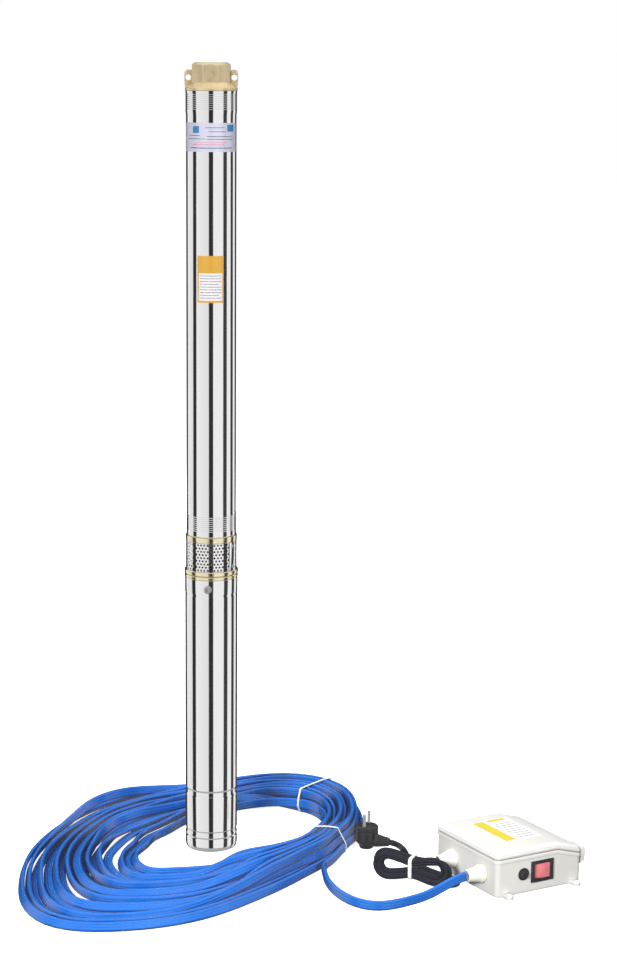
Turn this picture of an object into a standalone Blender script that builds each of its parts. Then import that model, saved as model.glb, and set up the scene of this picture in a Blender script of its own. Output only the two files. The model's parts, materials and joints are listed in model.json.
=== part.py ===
"""Borehole submersible pump with its drop cable, control box and mains lead.

Metres, +Z up. The origin is the centre of the pump's underside, and the pump stands on z = 0.
"""

import math

import bmesh
import bpy
from mathutils import Euler, Matrix, Vector

MM = 0.001

# Clearances
SEAT = 0.3 * MM
RUNNING = 0.7 * MM
MERGE = 0.00001

# Facets around a round piece
ROUND = 28
SMALL = 16
HIDDEN = 12

# Motor, from the floor up
MOTOR_RADIUS = 38.0 * MM
MOTOR_WALL = 1.2 * MM
MOTOR_HEAD_STEP = 0.3 * MM
BASE_CAP_HEIGHT = 24.0 * MM
BASE_CAP_EDGE = 1.6 * MM
BASE_CAP_FLOOR = 6.0 * MM
BASE_NECK_DEPTH = 0.7 * MM
BASE_NECK_HEIGHT = 6.0 * MM
BASE_SPIGOT_HEIGHT = 9.0 * MM
BASE_SPIGOT_WALL = 6.0 * MM
MOTOR_BAND_HEIGHT = 53.0 * MM
ROLLED_GROOVE_HEIGHT = 8.5 * MM
ROLLED_GROOVE_DEPTH = 1.5 * MM
MOTOR_BARREL_HEIGHT = 294.5 * MM
MOTOR_HEAD_HEIGHT = 23.0 * MM
HEAD_RIM_HEIGHT = 5.0 * MM
HEAD_RIM_STEP = 0.3 * MM

# Intake, pump end and outlet, going on up
BRACKET_FLANGE_HEIGHT = 7.0 * MM
BRACKET_FLANGE_STEP = 0.4 * MM
STRAINER_HEIGHT = 42.0 * MM
STRAINER_RADIUS = 36.9 * MM
STRAINER_SHEET = 1.0 * MM
COLLAR_HEIGHT = 8.0 * MM
COLLAR_STEP = 0.3 * MM
BRACKET_SPIGOT_HEIGHT = 28.0 * MM
BRACKET_BORE = 16.0 * MM
BRACKET_LEG_OUTER = 30.0 * MM
BRACKET_LEG_WALL = 4.0 * MM
BRACKET_WINDOW_WIDTH = 27.0 * MM
BRACKET_WINDOW_MARGIN = 4.0 * MM
CASING_RADIUS = 35.5 * MM
CASING_WALL = 1.2 * MM
CASING_LOWER_BAND = 32.0 * MM
CASING_BAND_STEP = 0.4 * MM
CASING_PLAIN_HEIGHT = 572.0 * MM
CASING_UPPER_BAND = 29.0 * MM
CASING_UPPER_STEP = 0.9 * MM

# Discharge head
OUTLET_RIM_HEIGHT = 4.0 * MM
OUTLET_RIM_STEP = 0.5 * MM
OUTLET_DOME_HEIGHT = 9.0 * MM
OUTLET_SPOUT_HEIGHT = 26.0 * MM
OUTLET_ACROSS_FLATS = 53.5 * MM
OUTLET_BORE = 20.0 * MM
OUTLET_CHAMFER = 2.0 * MM
OUTLET_SPIGOT_HEIGHT = 29.0 * MM
OUTLET_SOCKET_DEPTH = 30.0 * MM
LUG_REACH = 37.6 * MM
LUG_THICKNESS = 6.0 * MM
LUG_EYE_RADIUS = 4.1 * MM
LUG_ROOT = 4.0 * MM
LUG_EYE_ABOVE_RIM = 14.0 * MM
LUG_TOP_ABOVE_EYE = 11.0 * MM
LUG_EYE_INSET = 5.4 * MM

# Check valve in the discharge head
VALVE_SEAT_HEIGHT = 5.0 * MM
VALVE_SEAT_BORE = 11.0 * MM
VALVE_CHAMBER = 16.0 * MM
VALVE_DISC_RADIUS = 13.5 * MM
VALVE_DISC_HEIGHT = 4.0 * MM
VALVE_STEM_RADIUS = 3.0 * MM
VALVE_STEM_HEIGHT = 20.0 * MM
VALVE_LIFT = 8.0 * MM
GUIDE_RADIUS = 17.5 * MM
GUIDE_HEIGHT = 4.0 * MM
GUIDE_LEDGE_ABOVE_SEAT = 13.0 * MM
GUIDE_WINDOW_RADIUS = 3.6 * MM
GUIDE_WINDOWS = 4

# Turning pieces
SHAFT_RADIUS = 8.0 * MM
SHAFT_SPLINE_STEP = 0.5 * MM
HEX_ACROSS_CORNERS = 13.8 * MM
COUPLING_RADIUS = 11.0 * MM
COUPLING_HEIGHT = 42.0 * MM
STAGES = 18
SPIDER_HEIGHT = 35.0 * MM
BOWL_WALL = 2.7 * MM
BOWL_PLATE = 4.0 * MM
BOWL_EYE = 12.5 * MM
IMPELLER_GAP = 2.3 * MM
IMPELLER_HUB = 9.2 * MM
IMPELLER_DEPTH = 11.0 * MM
SHROUD = 2.0 * MM
VANES = 5
VANE_THICKNESS = 1.6 * MM
VANE_SWEEP = math.radians(75)
GUIDE_VANES = 6

# Motor inside
ROTOR_RADIUS = 18.5 * MM
ROTOR_RING_HEIGHT = 8.0 * MM
STATOR_ABOVE_BELL = 46.0 * MM
STATOR_BELOW_BELL = 37.5 * MM
WINDING_HEIGHT = 35.0 * MM
WINDING_INSET = 3.0 * MM
BUSH_WALL = 3.7 * MM
BUSH_HEIGHT = 24.0 * MM
BUSH_FLANGE = 2.0 * MM
LOWER_BELL_BELOW_GROOVE = 5.0 * MM
LOWER_BELL_ABOVE_GROOVE = 12.0 * MM
BELL_HUB_WALL = 4.0 * MM
BELL_RIM_WALL = 5.0 * MM
BELL_WEB = 8.0 * MM
THRUST_DISC_RADIUS = 18.0 * MM
THRUST_DISC_HEIGHT = 6.0 * MM
THRUST_SEAT_FLOOR = 6.0 * MM
THRUST_SEAT_WALL = 5.0 * MM
THRUST_SEAT_HEIGHT = 20.0 * MM
DIAPHRAGM_SHEET = 1.6 * MM
DIAPHRAGM_RISE = 12.0 * MM
UPPER_BELL_DEPTH = 42.0 * MM
SEAL_HEIGHT = 4.0 * MM
SEAL_RING_HEIGHT = 7.0 * MM
SEAL_RECESS_DEPTH = 14.0 * MM
SLINGER_RADIUS = 13.5 * MM
SLINGER_HEIGHT = 4.0 * MM
FILLER_BELOW_RIM = 13.0 * MM
FILLER_TURN = math.radians(-5.4)
FILLER_SHANK_RADIUS = 3.0 * MM
FILLER_HEAD_RADIUS = 4.8 * MM
FILLER_HEAD_HEIGHT = 2.6 * MM
FILLER_SHANK_LENGTH = 4.6 * MM

# Cable side of the intake: lead gland, strainer gap and guard
LEAD_GLAND_WIDTH = 16.0 * MM
LEAD_GLAND_DEPTH = 7.0 * MM
LEAD_GLAND_HEIGHT = 10.0 * MM
LEAD_GLAND_PLACE = 34.0 * MM
NOTCH_CLEARANCE = 2.0 * MM
GUARD_WIDTH = 25.0 * MM
GUARD_SHEET = 1.5 * MM
GUARD_REACH = 47.5 * MM
GUARD_OVERLAP = 3.0 * MM
SEAM_STRIP_WIDTH = 15.0 * MM
SEAM_STRIP_SHEET = 0.8 * MM
SEAM_STRIP_TURN = math.radians(57)
SEAM_SCREW_RADIUS = 2.6 * MM
SEAM_SCREW_HEIGHT = 1.2 * MM
SEAM_SCREW_INSET = 6.0 * MM
HOLE_COLUMNS = 16
HOLE_ROWS = 6
HOLE_MARGIN = 1.6 * MM
HOLE_EDGE = 2.2 * MM

# Control box, in its own axes: x along the switch face, y along the cable face, z up
BOX_CORNER = Vector((406.0, -219.0, 0.0)) * MM
BOX_TURN = math.radians(30)
BOX_LENGTH = 145.0 * MM
BOX_DEPTH = 154.0 * MM
BOX_SEAM_HEIGHT = 54.0 * MM
BOX_SEAM_DROP = 12.0 * MM
BOX_BEND = BOX_LENGTH - 42.0 * MM
BOX_WALL = 2.6 * MM
BOX_ROUND = 7.0 * MM
GASKET_HEIGHT = 1.0 * MM
LID_HEIGHT = 9.0 * MM
LID_LIP = 1.2 * MM
LID_BEVEL = 4.0 * MM
LID_BEVEL_HEIGHT = 3.0 * MM
EAR_WIDTH = 12.0 * MM
EAR_REACH = 16.0 * MM
EAR_HEIGHT = 6.0 * MM
EAR_HOLE = 2.4 * MM
EAR_INSET = 15.0 * MM
CATCH_PLACE = 24.0 * MM
CATCH_WIDTH = 16.0 * MM
CATCH_REACH = 8.0 * MM
CATCH_TOP = 50.0 * MM
CATCH_HEIGHT = 34.0 * MM
CATCH_SLANT = 7.0 * MM

# Switch and reset button in the switch face
SWITCH_PLACE = 76.5 * MM
SWITCH_HEIGHT = 29.0 * MM
BEZEL_WIDTH = 38.0 * MM
BEZEL_HEIGHT = 31.0 * MM
BEZEL_DEPTH = 2.2 * MM
SWITCH_CAN_WIDTH = 28.0 * MM
SWITCH_CAN_HEIGHT = 21.0 * MM
SWITCH_CAN_DEPTH = 22.0 * MM
ROCKER_HALF = 11.2 * MM
ROCKER_HEIGHT = 17.0 * MM
ROCKER_RIDGE = 5.0 * MM
ROCKER_EDGE = 3.0 * MM
ROCKER_BACK = 5.0 * MM
ROCKER_PIVOT_DEPTH = 2.6 * MM
ROCKER_TILT = math.radians(10)
RESET_PLACE = 45.0 * MM
RESET_HEIGHT = 28.5 * MM
RESET_RING_RADIUS = 9.0 * MM
RESET_RING_HEIGHT = 2.6 * MM
RESET_NOSE_RADIUS = 7.6 * MM
RESET_CAN_RADIUS = 12.0 * MM
RESET_CAN_DEPTH = 20.0 * MM
RESET_BUTTON_RADIUS = 4.6 * MM
RESET_BUTTON_PROUD = 3.2 * MM
RESET_BUTTON_DEPTH = 7.0 * MM
RESET_TRAVEL = 2.5 * MM

# Inside the control box
CAPACITOR_RADIUS = 17.0 * MM
CAPACITOR_LENGTH = 70.0 * MM
CAPACITOR_PLACE = Vector((BOX_LENGTH - 33.0 * MM, BOX_DEPTH - 88.0 * MM, 0.0))
TERMINALS_PLACE = Vector((44.0 * MM, BOX_DEPTH - 72.0 * MM, 0.0))
TERMINALS_LENGTH = 60.0 * MM
TERMINALS_WIDTH = 18.0 * MM
TERMINALS_HEIGHT = 14.0 * MM

# Cable glands in the cable face
GLAND_HEIGHT = 26.5 * MM
GLAND_BASE = 13.5 * MM
GLAND_LENGTH = 27.0 * MM
GLAND_COLLAR = 5.0 * MM
GLAND_NECK = 9.0 * MM
GLAND_NUT = 6.0 * MM
SUPPLY_GLAND_PLACE = 36.0 * MM
SUPPLY_GLAND_TIP = 8.6 * MM
MAINS_GLAND_PLACE = BOX_DEPTH - 45.0 * MM
MAINS_GLAND_TIP = 7.0 * MM

# Drop cable: 14 x 6 mm flat cable, its tube as thick as the cable
CABLE_RADIUS = 3.0 * MM
CABLE_SPACING = 16.0 * MM
COIL_CENTRE = Vector((-15.0, -30.0, 0.0)) * MM
COIL_STEPS = 3
# Stations around the coil: angle in degrees, then inner radius, outer radius and height in millimetres
COIL_STATIONS = (
    (0, 163, 216, 42),
    (22, 196, 254, 42),
    (45, 226, 308, 40),
    (70, 205, 325, 34),
    (92, 142, 295, 30),
    (120, 90, 268, 26),
    (150, 83, 238, 24),
    (180, 86, 243, 24),
    (210, 116, 287, 22),
    (238, 139, 372, 22),
    (262, 129, 318, 24),
    (290, 112, 236, 32),
    (320, 124, 199, 42),
    (344, 146, 205, 42),
)
# A coil section, as shares of its half width and of its height
COIL_SECTION = (
    (-0.82, 0.0),
    (0.82, 0.0),
    (1.0, 0.3),
    (0.86, 0.8),
    (0.4, 1.0),
    (-0.4, 1.0),
    (-0.86, 0.8),
    (-1.0, 0.3),
)
# From the supply gland to the coil, in millimetres
RUN_ROUTE = (
    (363.8, -201.8, 26.5),
    (352.0, -208.6, 25.0),
    (334.0, -219.0, 17.0),
    (312.0, -233.0, 7.5),
    (290.0, -247.0, 3.6),
    (265.0, -262.0, 3.4),
    (238.0, -270.0, 3.4),
    (212.0, -258.0, 3.4),
    (192.0, -232.0, 3.4),
    (178.0, -200.0, 3.4),
    (168.5, -168.0, 3.8),
    (163.0, -142.0, 5.5),
    (156.6, -129.8, 8.4),
)
# From the motor's lead gland over to the back of the coil, in millimetres
DROP_ROUTE = (
    (0.0, 34.0, 425.1),
    (0.0, 34.8, 434.0),
    (0.0, 38.4, 446.0),
    (0.0, 41.2, 458.0),
    (0.0, 41.8, 474.0),
    (0.0, 42.4, 494.0),
    (0.0, 46.0, 514.0),
    (-0.5, 56.0, 532.0),
    (-1.0, 72.0, 543.0),
    (-1.5, 91.0, 544.0),
    (-2.0, 108.0, 534.0),
    (-3.0, 122.0, 515.0),
    (-4.0, 134.0, 486.0),
    (-5.0, 146.0, 440.0),
    (-6.0, 156.0, 384.0),
    (-7.0, 164.0, 320.0),
    (-8.0, 171.0, 252.0),
    (-9.0, 178.0, 184.0),
    (-10.0, 186.0, 124.0),
    (-10.5, 197.0, 74.0),
    (-11.0, 212.2, 31.9),
)

# Mains lead, its tied hank and its angled plug
LEAD_RADIUS = 4.4 * MM
LEAD_SPACING = 12.0 * MM
HANK_CENTRE = Vector((292.0, -150.0, 0.0)) * MM
HANK_TURN = math.radians(-22)
HANK_LENGTH = 112.0 * MM
HANK_HEIGHT = 42.0 * MM
HANK_THICKNESS = 22.0 * MM
PLUG_PLACE = Vector((230.0, -8.0, 0.0)) * MM
PLUG_TURN = math.radians(-22)
PLUG_RADIUS = 17.5 * MM
PLUG_HEIGHT = 36.0 * MM
PLUG_FOOT = 10.0 * MM
PLUG_SHOULDER = 11.0 * MM
PLUG_RIM = 1.2 * MM
PLUG_NECK_HEIGHT = 13.0 * MM
PLUG_NECK_LENGTH = 36.0 * MM
PLUG_NECK_ROOT = 9.5 * MM
PLUG_NECK_TIP = 6.2 * MM
PIN_SPACING = 19.0 * MM
PIN_RADIUS = 2.4 * MM
PIN_LENGTH = 18.0 * MM
PIN_DEPTH = 6.0 * MM
# Lead from the mains gland to the hank, and from the hank to the plug, in millimetres
MAINS_ROUTE = (
    (327.5, -138.5, 26.5),
    (322.0, -141.6, 26.3),
    (316.6, -144.7, 26.0),
)
TAIL_ROUTE = (
    (264.1, -21.8, 13.0),
    (272.0, -24.5, 12.4),
    (281.0, -36.0, 11.6),
    (286.0, -56.0, 11.6),
    (287.0, -82.0, 13.0),
    (286.0, -108.0, 17.5),
    (285.4, -133.2, 23.0),
)

# Heights that follow from the sizes above
MOTOR_SHELL_BOTTOM = BASE_CAP_HEIGHT + BASE_NECK_HEIGHT
GROOVE_BOTTOM = MOTOR_SHELL_BOTTOM + MOTOR_BAND_HEIGHT
GROOVE_TOP = GROOVE_BOTTOM + ROLLED_GROOVE_HEIGHT
MOTOR_STEP_HEIGHT = GROOVE_TOP + MOTOR_BARREL_HEIGHT
MOTOR_SHELL_TOP = MOTOR_STEP_HEIGHT + MOTOR_HEAD_HEIGHT
MOTOR_TOP = MOTOR_SHELL_TOP + HEAD_RIM_HEIGHT
FLANGE_TOP = MOTOR_TOP + BRACKET_FLANGE_HEIGHT
COLLAR_BOTTOM = FLANGE_TOP + STRAINER_HEIGHT
COLLAR_TOP = COLLAR_BOTTOM + COLLAR_HEIGHT
BRACKET_TOP = COLLAR_TOP + BRACKET_SPIGOT_HEIGHT
LOWER_BAND_TOP = COLLAR_TOP + CASING_LOWER_BAND
UPPER_BAND_BOTTOM = LOWER_BAND_TOP + CASING_PLAIN_HEIGHT
CASING_TOP = UPPER_BAND_BOTTOM + CASING_UPPER_BAND
RIM_TOP = CASING_TOP + OUTLET_RIM_HEIGHT
SPOUT_BOTTOM = RIM_TOP + OUTLET_DOME_HEIGHT
PUMP_TOP = SPOUT_BOTTOM + OUTLET_SPOUT_HEIGHT
HEAD_BOTTOM = CASING_TOP - OUTLET_SPIGOT_HEIGHT

# Radii that follow
MOTOR_BORE = MOTOR_RADIUS - MOTOR_WALL
MOTOR_HEAD_RADIUS = MOTOR_RADIUS + MOTOR_HEAD_STEP
HEAD_RIM_RADIUS = MOTOR_HEAD_RADIUS + HEAD_RIM_STEP
FLANGE_RADIUS = HEAD_RIM_RADIUS + BRACKET_FLANGE_STEP
COLLAR_RADIUS = STRAINER_RADIUS + COLLAR_STEP
CASING_BORE = CASING_RADIUS - CASING_WALL
CASING_UPPER_RADIUS = CASING_RADIUS + CASING_UPPER_STEP
OUTLET_RIM_RADIUS = CASING_UPPER_RADIUS + OUTLET_RIM_STEP
SHAFT_BORE = SHAFT_RADIUS + SEAT
BUSH_RADIUS = SHAFT_BORE + BUSH_WALL
BELL_BORE = BUSH_RADIUS + SEAT
HEX_RADIUS = HEX_ACROSS_CORNERS / 2
HUB_BORE = (HEX_RADIUS + SEAT / 2) / math.cos(math.pi / HIDDEN)
STACK_RADIUS = CASING_BORE - SEAT
BOWL_BORE = STACK_RADIUS - BOWL_WALL
IMPELLER_RADIUS = BOWL_BORE * math.cos(math.pi / HIDDEN) - RUNNING

# Heights inside
LOWER_BELL_BOTTOM = GROOVE_BOTTOM - LOWER_BELL_BELOW_GROOVE
LOWER_BELL_TOP = GROOVE_TOP + LOWER_BELL_ABOVE_GROOVE
STATOR_BOTTOM = LOWER_BELL_TOP + STATOR_ABOVE_BELL
UPPER_BELL_BOTTOM = MOTOR_SHELL_TOP - UPPER_BELL_DEPTH
STATOR_TOP = UPPER_BELL_BOTTOM - STATOR_BELOW_BELL
THRUST_SEAT_BOTTOM = LOWER_BELL_BOTTOM - SEAT - THRUST_SEAT_HEIGHT
THRUST_FLOOR = THRUST_SEAT_BOTTOM + THRUST_SEAT_FLOOR
SHAFT_BOTTOM = THRUST_FLOOR + SEAT
COUPLING_BOTTOM = FLANGE_TOP + 2 * SEAT + SLINGER_HEIGHT
SHAFT_TOP = COUPLING_BOTTOM + COUPLING_HEIGHT / 2
STACK_BOTTOM = BRACKET_TOP + SEAT
SPIDER_TOP = HEAD_BOTTOM - SEAT
SPIDER_BOTTOM = SPIDER_TOP - SPIDER_HEIGHT
STACK_TOP = SPIDER_BOTTOM - SEAT
STAGE_PITCH = (STACK_TOP - STACK_BOTTOM) / STAGES

PARTS_NAME = "borehole_submersible_pump"


def clear_scene():
    for item in list(bpy.data.objects):
        bpy.data.objects.remove(item, do_unlink=True)


def new_collection(name):
    collection = bpy.data.collections.new(name)
    bpy.context.scene.collection.children.link(collection)
    return collection


def material(name, colour, roughness, metallic=0.0):
    finish = bpy.data.materials.new(name)
    finish.use_nodes = True
    shader = finish.node_tree.nodes["Principled BSDF"]
    shader.inputs["Base Color"].default_value = (*colour, 1.0)
    shader.inputs["Roughness"].default_value = roughness
    shader.inputs["Metallic"].default_value = metallic
    finish.diffuse_color = (*colour, 1.0)
    return finish


clear_scene()
PARTS = new_collection(PARTS_NAME)
CUTTERS = new_collection("cutters")

POLISHED = ("polished_steel", (0.78, 0.78, 0.79), 0.12, 1.0)
STEEL = ("steel", (0.55, 0.55, 0.56), 0.35, 1.0)
BRASS = ("brass", (0.76, 0.62, 0.38), 0.42, 1.0)
COPPER = ("copper", (0.72, 0.4, 0.2), 0.4, 1.0)
RUBBER = ("rubber", (0.03, 0.03, 0.03), 0.8)
RESIN = ("stage_plastic", (0.12, 0.12, 0.13), 0.5)
CARBON = ("carbon", (0.06, 0.06, 0.065), 0.45)
BOX_PLASTIC = ("box_plastic", (0.86, 0.85, 0.81), 0.42)
BLACK_PLASTIC = ("black_plastic", (0.02, 0.02, 0.022), 0.4)
RED_PLASTIC = ("red_plastic", (0.6, 0.05, 0.06), 0.3)
BLUE_SHEATH = ("blue_sheath", (0.03, 0.2, 0.72), 0.38)
BLACK_SHEATH = ("black_sheath", (0.015, 0.015, 0.018), 0.45)


def place(item, cutter, parent):
    """Links an object as a part or as a cutter, and hangs it on its parent's axes."""
    if cutter:
        CUTTERS.objects.link(item)
        item.hide_render = True
        item.display_type = "WIRE"
    else:
        PARTS.objects.link(item)
    item.parent = parent
    return item


def mesh_object(name, mesh, finish=None, at=(0, 0, 0), turn=(0, 0, 0), parent=None):
    """A mesh as an object. With no finish it is a cutter."""
    item = bpy.data.objects.new(name, mesh)
    item.location = at
    item.rotation_euler = turn
    if finish:
        mesh.materials.append(material(f"{name}_{finish[0]}", *finish[1:]))
    mesh.shade_smooth()
    mesh.set_sharp_from_angle(angle=math.radians(35))
    return place(item, finish is None, parent)


def from_bmesh(name, shape):
    mesh = bpy.data.meshes.new(name)
    shape.to_mesh(mesh)
    shape.free()
    return mesh


def turned(name, profile, finish=None, facets=ROUND, **where):
    """A turned shape from radius and height pairs that run down its outer side."""
    mesh = bpy.data.meshes.new(name)
    points = [(radius, 0.0, height) for radius, height in profile]
    edges = [(index, index + 1) for index in range(len(points) - 1)]
    if profile[0][0] > 0 or profile[-1][0] > 0:
        edges.append((len(points) - 1, 0))
    mesh.from_pydata(points, edges, [])
    item = mesh_object(name, mesh, finish, **where)
    screw = item.modifiers.new("Turn", "SCREW")
    screw.steps = facets
    screw.render_steps = facets
    screw.use_merge_vertices = True
    screw.merge_threshold = MERGE
    screw.use_smooth_shade = True
    return item


def ring(outer, inner, bottom, top):
    """The section of a plain ring."""
    return [(outer, top), (outer, bottom), (inner, bottom), (inner, top)]


def block(name, low, high, finish=None, **where):
    """A box between two corners."""
    low = Vector(low)
    high = Vector(high)
    shape = bmesh.new()
    bmesh.ops.create_cube(shape, size=1.0)
    bmesh.ops.scale(shape, vec=high - low, verts=shape.verts)
    bmesh.ops.translate(shape, vec=(low + high) / 2, verts=shape.verts)
    return mesh_object(name, from_bmesh(name, shape), finish, **where)


def rod(name, radius, bottom, top, finish=None, facets=SMALL, tip=None, **where):
    """A cylinder or a cone along its own Z axis."""
    shape = bmesh.new()
    bmesh.ops.create_cone(
        shape,
        cap_ends=True,
        segments=facets,
        radius1=radius,
        radius2=radius if tip is None else tip,
        depth=top - bottom,
    )
    bmesh.ops.translate(shape, vec=(0, 0, (bottom + top) / 2), verts=shape.verts)
    return mesh_object(name, from_bmesh(name, shape), finish, **where)


def plate(name, outline, bottom, top, finish=None, axes=None, **where):
    """A flat outline, extruded from bottom to top along its own Z, then turned by the matrix axes."""
    curve = bpy.data.curves.new(name, "CURVE")
    curve.dimensions = "2D"
    curve.fill_mode = "BOTH"
    curve.extrude = (top - bottom) / 2
    spline = curve.splines.new("POLY")
    spline.points.add(len(outline) - 1)
    for point, (x, y) in zip(spline.points, outline):
        point.co = (x, y, 0, 1)
    spline.use_cyclic_u = True
    drawn = bpy.data.objects.new(name + "_outline", curve)
    CUTTERS.objects.link(drawn)
    mesh = bpy.data.meshes.new_from_object(drawn.evaluated_get(bpy.context.evaluated_depsgraph_get()))
    bpy.data.objects.remove(drawn, do_unlink=True)
    bpy.data.curves.remove(curve)
    shape = bmesh.new()
    shape.from_mesh(mesh)
    bmesh.ops.remove_doubles(shape, verts=shape.verts, dist=MERGE)
    bmesh.ops.translate(shape, vec=(0, 0, (bottom + top) / 2), verts=shape.verts)
    if axes:
        bmesh.ops.transform(shape, matrix=axes, verts=shape.verts)
    bmesh.ops.recalc_face_normals(shape, faces=shape.faces)
    shape.to_mesh(mesh)
    shape.free()
    mesh.materials.clear()
    mesh.name = name
    return mesh_object(name, mesh, finish, **where)


def arc(centre, radius, start, end, steps):
    """Points on an arc, both ends included, with its angles in degrees."""
    turn = (math.radians(start + (end - start) * step / steps) for step in range(steps + 1))
    return [(centre[0] + radius * math.cos(a), centre[1] + radius * math.sin(a)) for a in turn]


def boolean(item, other, operation):
    change = item.modifiers.new(operation.title(), "BOOLEAN")
    change.operation = operation
    change.solver = "EXACT"
    change.object = other


def cut(item, *cutters):
    for cutter in cutters:
        boolean(item, cutter, "DIFFERENCE")


def unite(item, *additions):
    for addition in additions:
        boolean(item, addition, "UNION")


def upright(angle):
    """Axes of a plate that stands on edge, facing away from the pump axis at this angle."""
    return Matrix.Rotation(angle, 4, "Z") @ Matrix.Rotation(math.radians(90), 4, "X")


def smooth_route(route, spacing):
    """Evenly spaced points on a Catmull-Rom curve through a route given in millimetres."""
    knots = [Vector(point) * MM for point in route]
    knots = [2 * knots[0] - knots[1], *knots, 2 * knots[-1] - knots[-2]]
    fine = []
    for before, start, end, after in zip(knots, knots[1:], knots[2:], knots[3:]):
        for step in range(12):
            t = step / 12
            fine.append(
                0.5
                * (
                    2 * start
                    + (end - before) * t
                    + (2 * before - 5 * start + 4 * end - after) * t**2
                    + (3 * start - before - 3 * end + after) * t**3
                )
            )
    fine.append(knots[-2])
    reach = [0.0]
    for start, end in zip(fine, fine[1:]):
        reach.append(reach[-1] + (end - start).length)
    count = max(2, round(reach[-1] / spacing))
    points = []
    for step in range(count + 1):
        goal = reach[-1] * step / count
        index = next((i for i in range(1, len(reach)) if reach[i] >= goal), len(reach) - 1)
        share = (goal - reach[index - 1]) / (reach[index] - reach[index - 1])
        points.append(fine[index - 1].lerp(fine[index], min(1.0, share)))
    return points


def tube(name, route, radius, spacing, finish):
    """A cord along a route, as a round tube with closed ends."""
    points = smooth_route(route, spacing)
    curve = bpy.data.curves.new(name, "CURVE")
    curve.dimensions = "3D"
    curve.bevel_depth = radius
    curve.bevel_resolution = 2
    curve.use_fill_caps = True
    spline = curve.splines.new("POLY")
    spline.points.add(len(points) - 1)
    for point, place_on_route in zip(spline.points, points):
        point.co = (*place_on_route, 1)
    spline.use_smooth = True
    curve.materials.append(material(f"{name}_{finish[0]}", *finish[1:]))
    return place(bpy.data.objects.new(name, curve), False, None)


def base_cap():
    """The foot of the motor: a cup with a rolled edge, a shallow neck and a spigot in the shell."""
    spigot = MOTOR_BORE - SEAT
    top = MOTOR_SHELL_BOTTOM + BASE_SPIGOT_HEIGHT
    neck = MOTOR_RADIUS - BASE_NECK_DEPTH
    profile = [
        (0, BASE_CAP_FLOOR),
        (spigot - BASE_SPIGOT_WALL, BASE_CAP_FLOOR),
        (spigot - BASE_SPIGOT_WALL, top),
        (spigot, top),
        (spigot, MOTOR_SHELL_BOTTOM - SEAT),
        (neck, MOTOR_SHELL_BOTTOM - SEAT),
        (neck, BASE_CAP_HEIGHT),
        (MOTOR_RADIUS, BASE_CAP_HEIGHT - BASE_CAP_EDGE),
        (MOTOR_RADIUS, BASE_CAP_EDGE),
        (MOTOR_RADIUS - BASE_CAP_EDGE, 0),
        (0, 0),
    ]
    turned("base_cap", profile, POLISHED)


def pressure_diaphragm():
    """A domed rubber sheet on the spigot, which takes up the growth of the motor's filling."""
    rim = MOTOR_BORE - SEAT
    seat = MOTOR_SHELL_BOTTOM + BASE_SPIGOT_HEIGHT + SEAT
    foot = rim - BASE_SPIGOT_WALL
    crown = foot * 0.55
    rise = seat + DIAPHRAGM_RISE
    profile = [
        (0, rise + DIAPHRAGM_SHEET),
        (crown, rise + DIAPHRAGM_SHEET),
        (foot, seat + DIAPHRAGM_SHEET),
        (rim, seat + DIAPHRAGM_SHEET),
        (rim, seat),
        (foot - DIAPHRAGM_SHEET, seat),
        (crown - DIAPHRAGM_SHEET, rise),
        (0, rise),
    ]
    turned("pressure_diaphragm", profile, RUBBER, SMALL)


def motor_casing():
    """The motor's steel shell, with the rolled groove that grips the lower end bell."""
    bottom = MOTOR_SHELL_BOTTOM
    slope = ROLLED_GROOVE_DEPTH
    deep = MOTOR_RADIUS - ROLLED_GROOVE_DEPTH
    deep_bore = MOTOR_BORE - ROLLED_GROOVE_DEPTH
    profile = [
        (MOTOR_HEAD_RADIUS, MOTOR_SHELL_TOP),
        (MOTOR_HEAD_RADIUS, MOTOR_STEP_HEIGHT + slope),
        (MOTOR_RADIUS, MOTOR_STEP_HEIGHT - slope),
        (MOTOR_RADIUS, GROOVE_TOP),
        (deep, GROOVE_TOP - slope),
        (deep, GROOVE_BOTTOM + slope),
        (MOTOR_RADIUS, GROOVE_BOTTOM),
        (MOTOR_RADIUS, bottom),
        (MOTOR_BORE, bottom),
        (MOTOR_BORE, GROOVE_BOTTOM),
        (deep_bore, GROOVE_BOTTOM + slope),
        (deep_bore, GROOVE_TOP - slope),
        (MOTOR_BORE, GROOVE_TOP),
        (MOTOR_BORE, MOTOR_SHELL_TOP),
    ]
    shell = turned("motor_casing", profile, POLISHED)
    cut(shell, filler_bore("filler_bore_in_casing"))


def filler_axis():
    """The filler plug's axis, pointing out of the front of the motor."""
    return {
        "at": (0, 0, MOTOR_SHELL_TOP - FILLER_BELOW_RIM),
        "turn": Euler((math.radians(90), 0, FILLER_TURN)),
    }


def filler_bore(name):
    depth = MOTOR_HEAD_RADIUS - FILLER_SHANK_LENGTH - SEAT
    return rod(
        name,
        FILLER_SHANK_RADIUS + SEAT,
        depth,
        MOTOR_HEAD_RADIUS + FILLER_HEAD_HEIGHT,
        facets=HIDDEN,
        **filler_axis(),
    )


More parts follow.
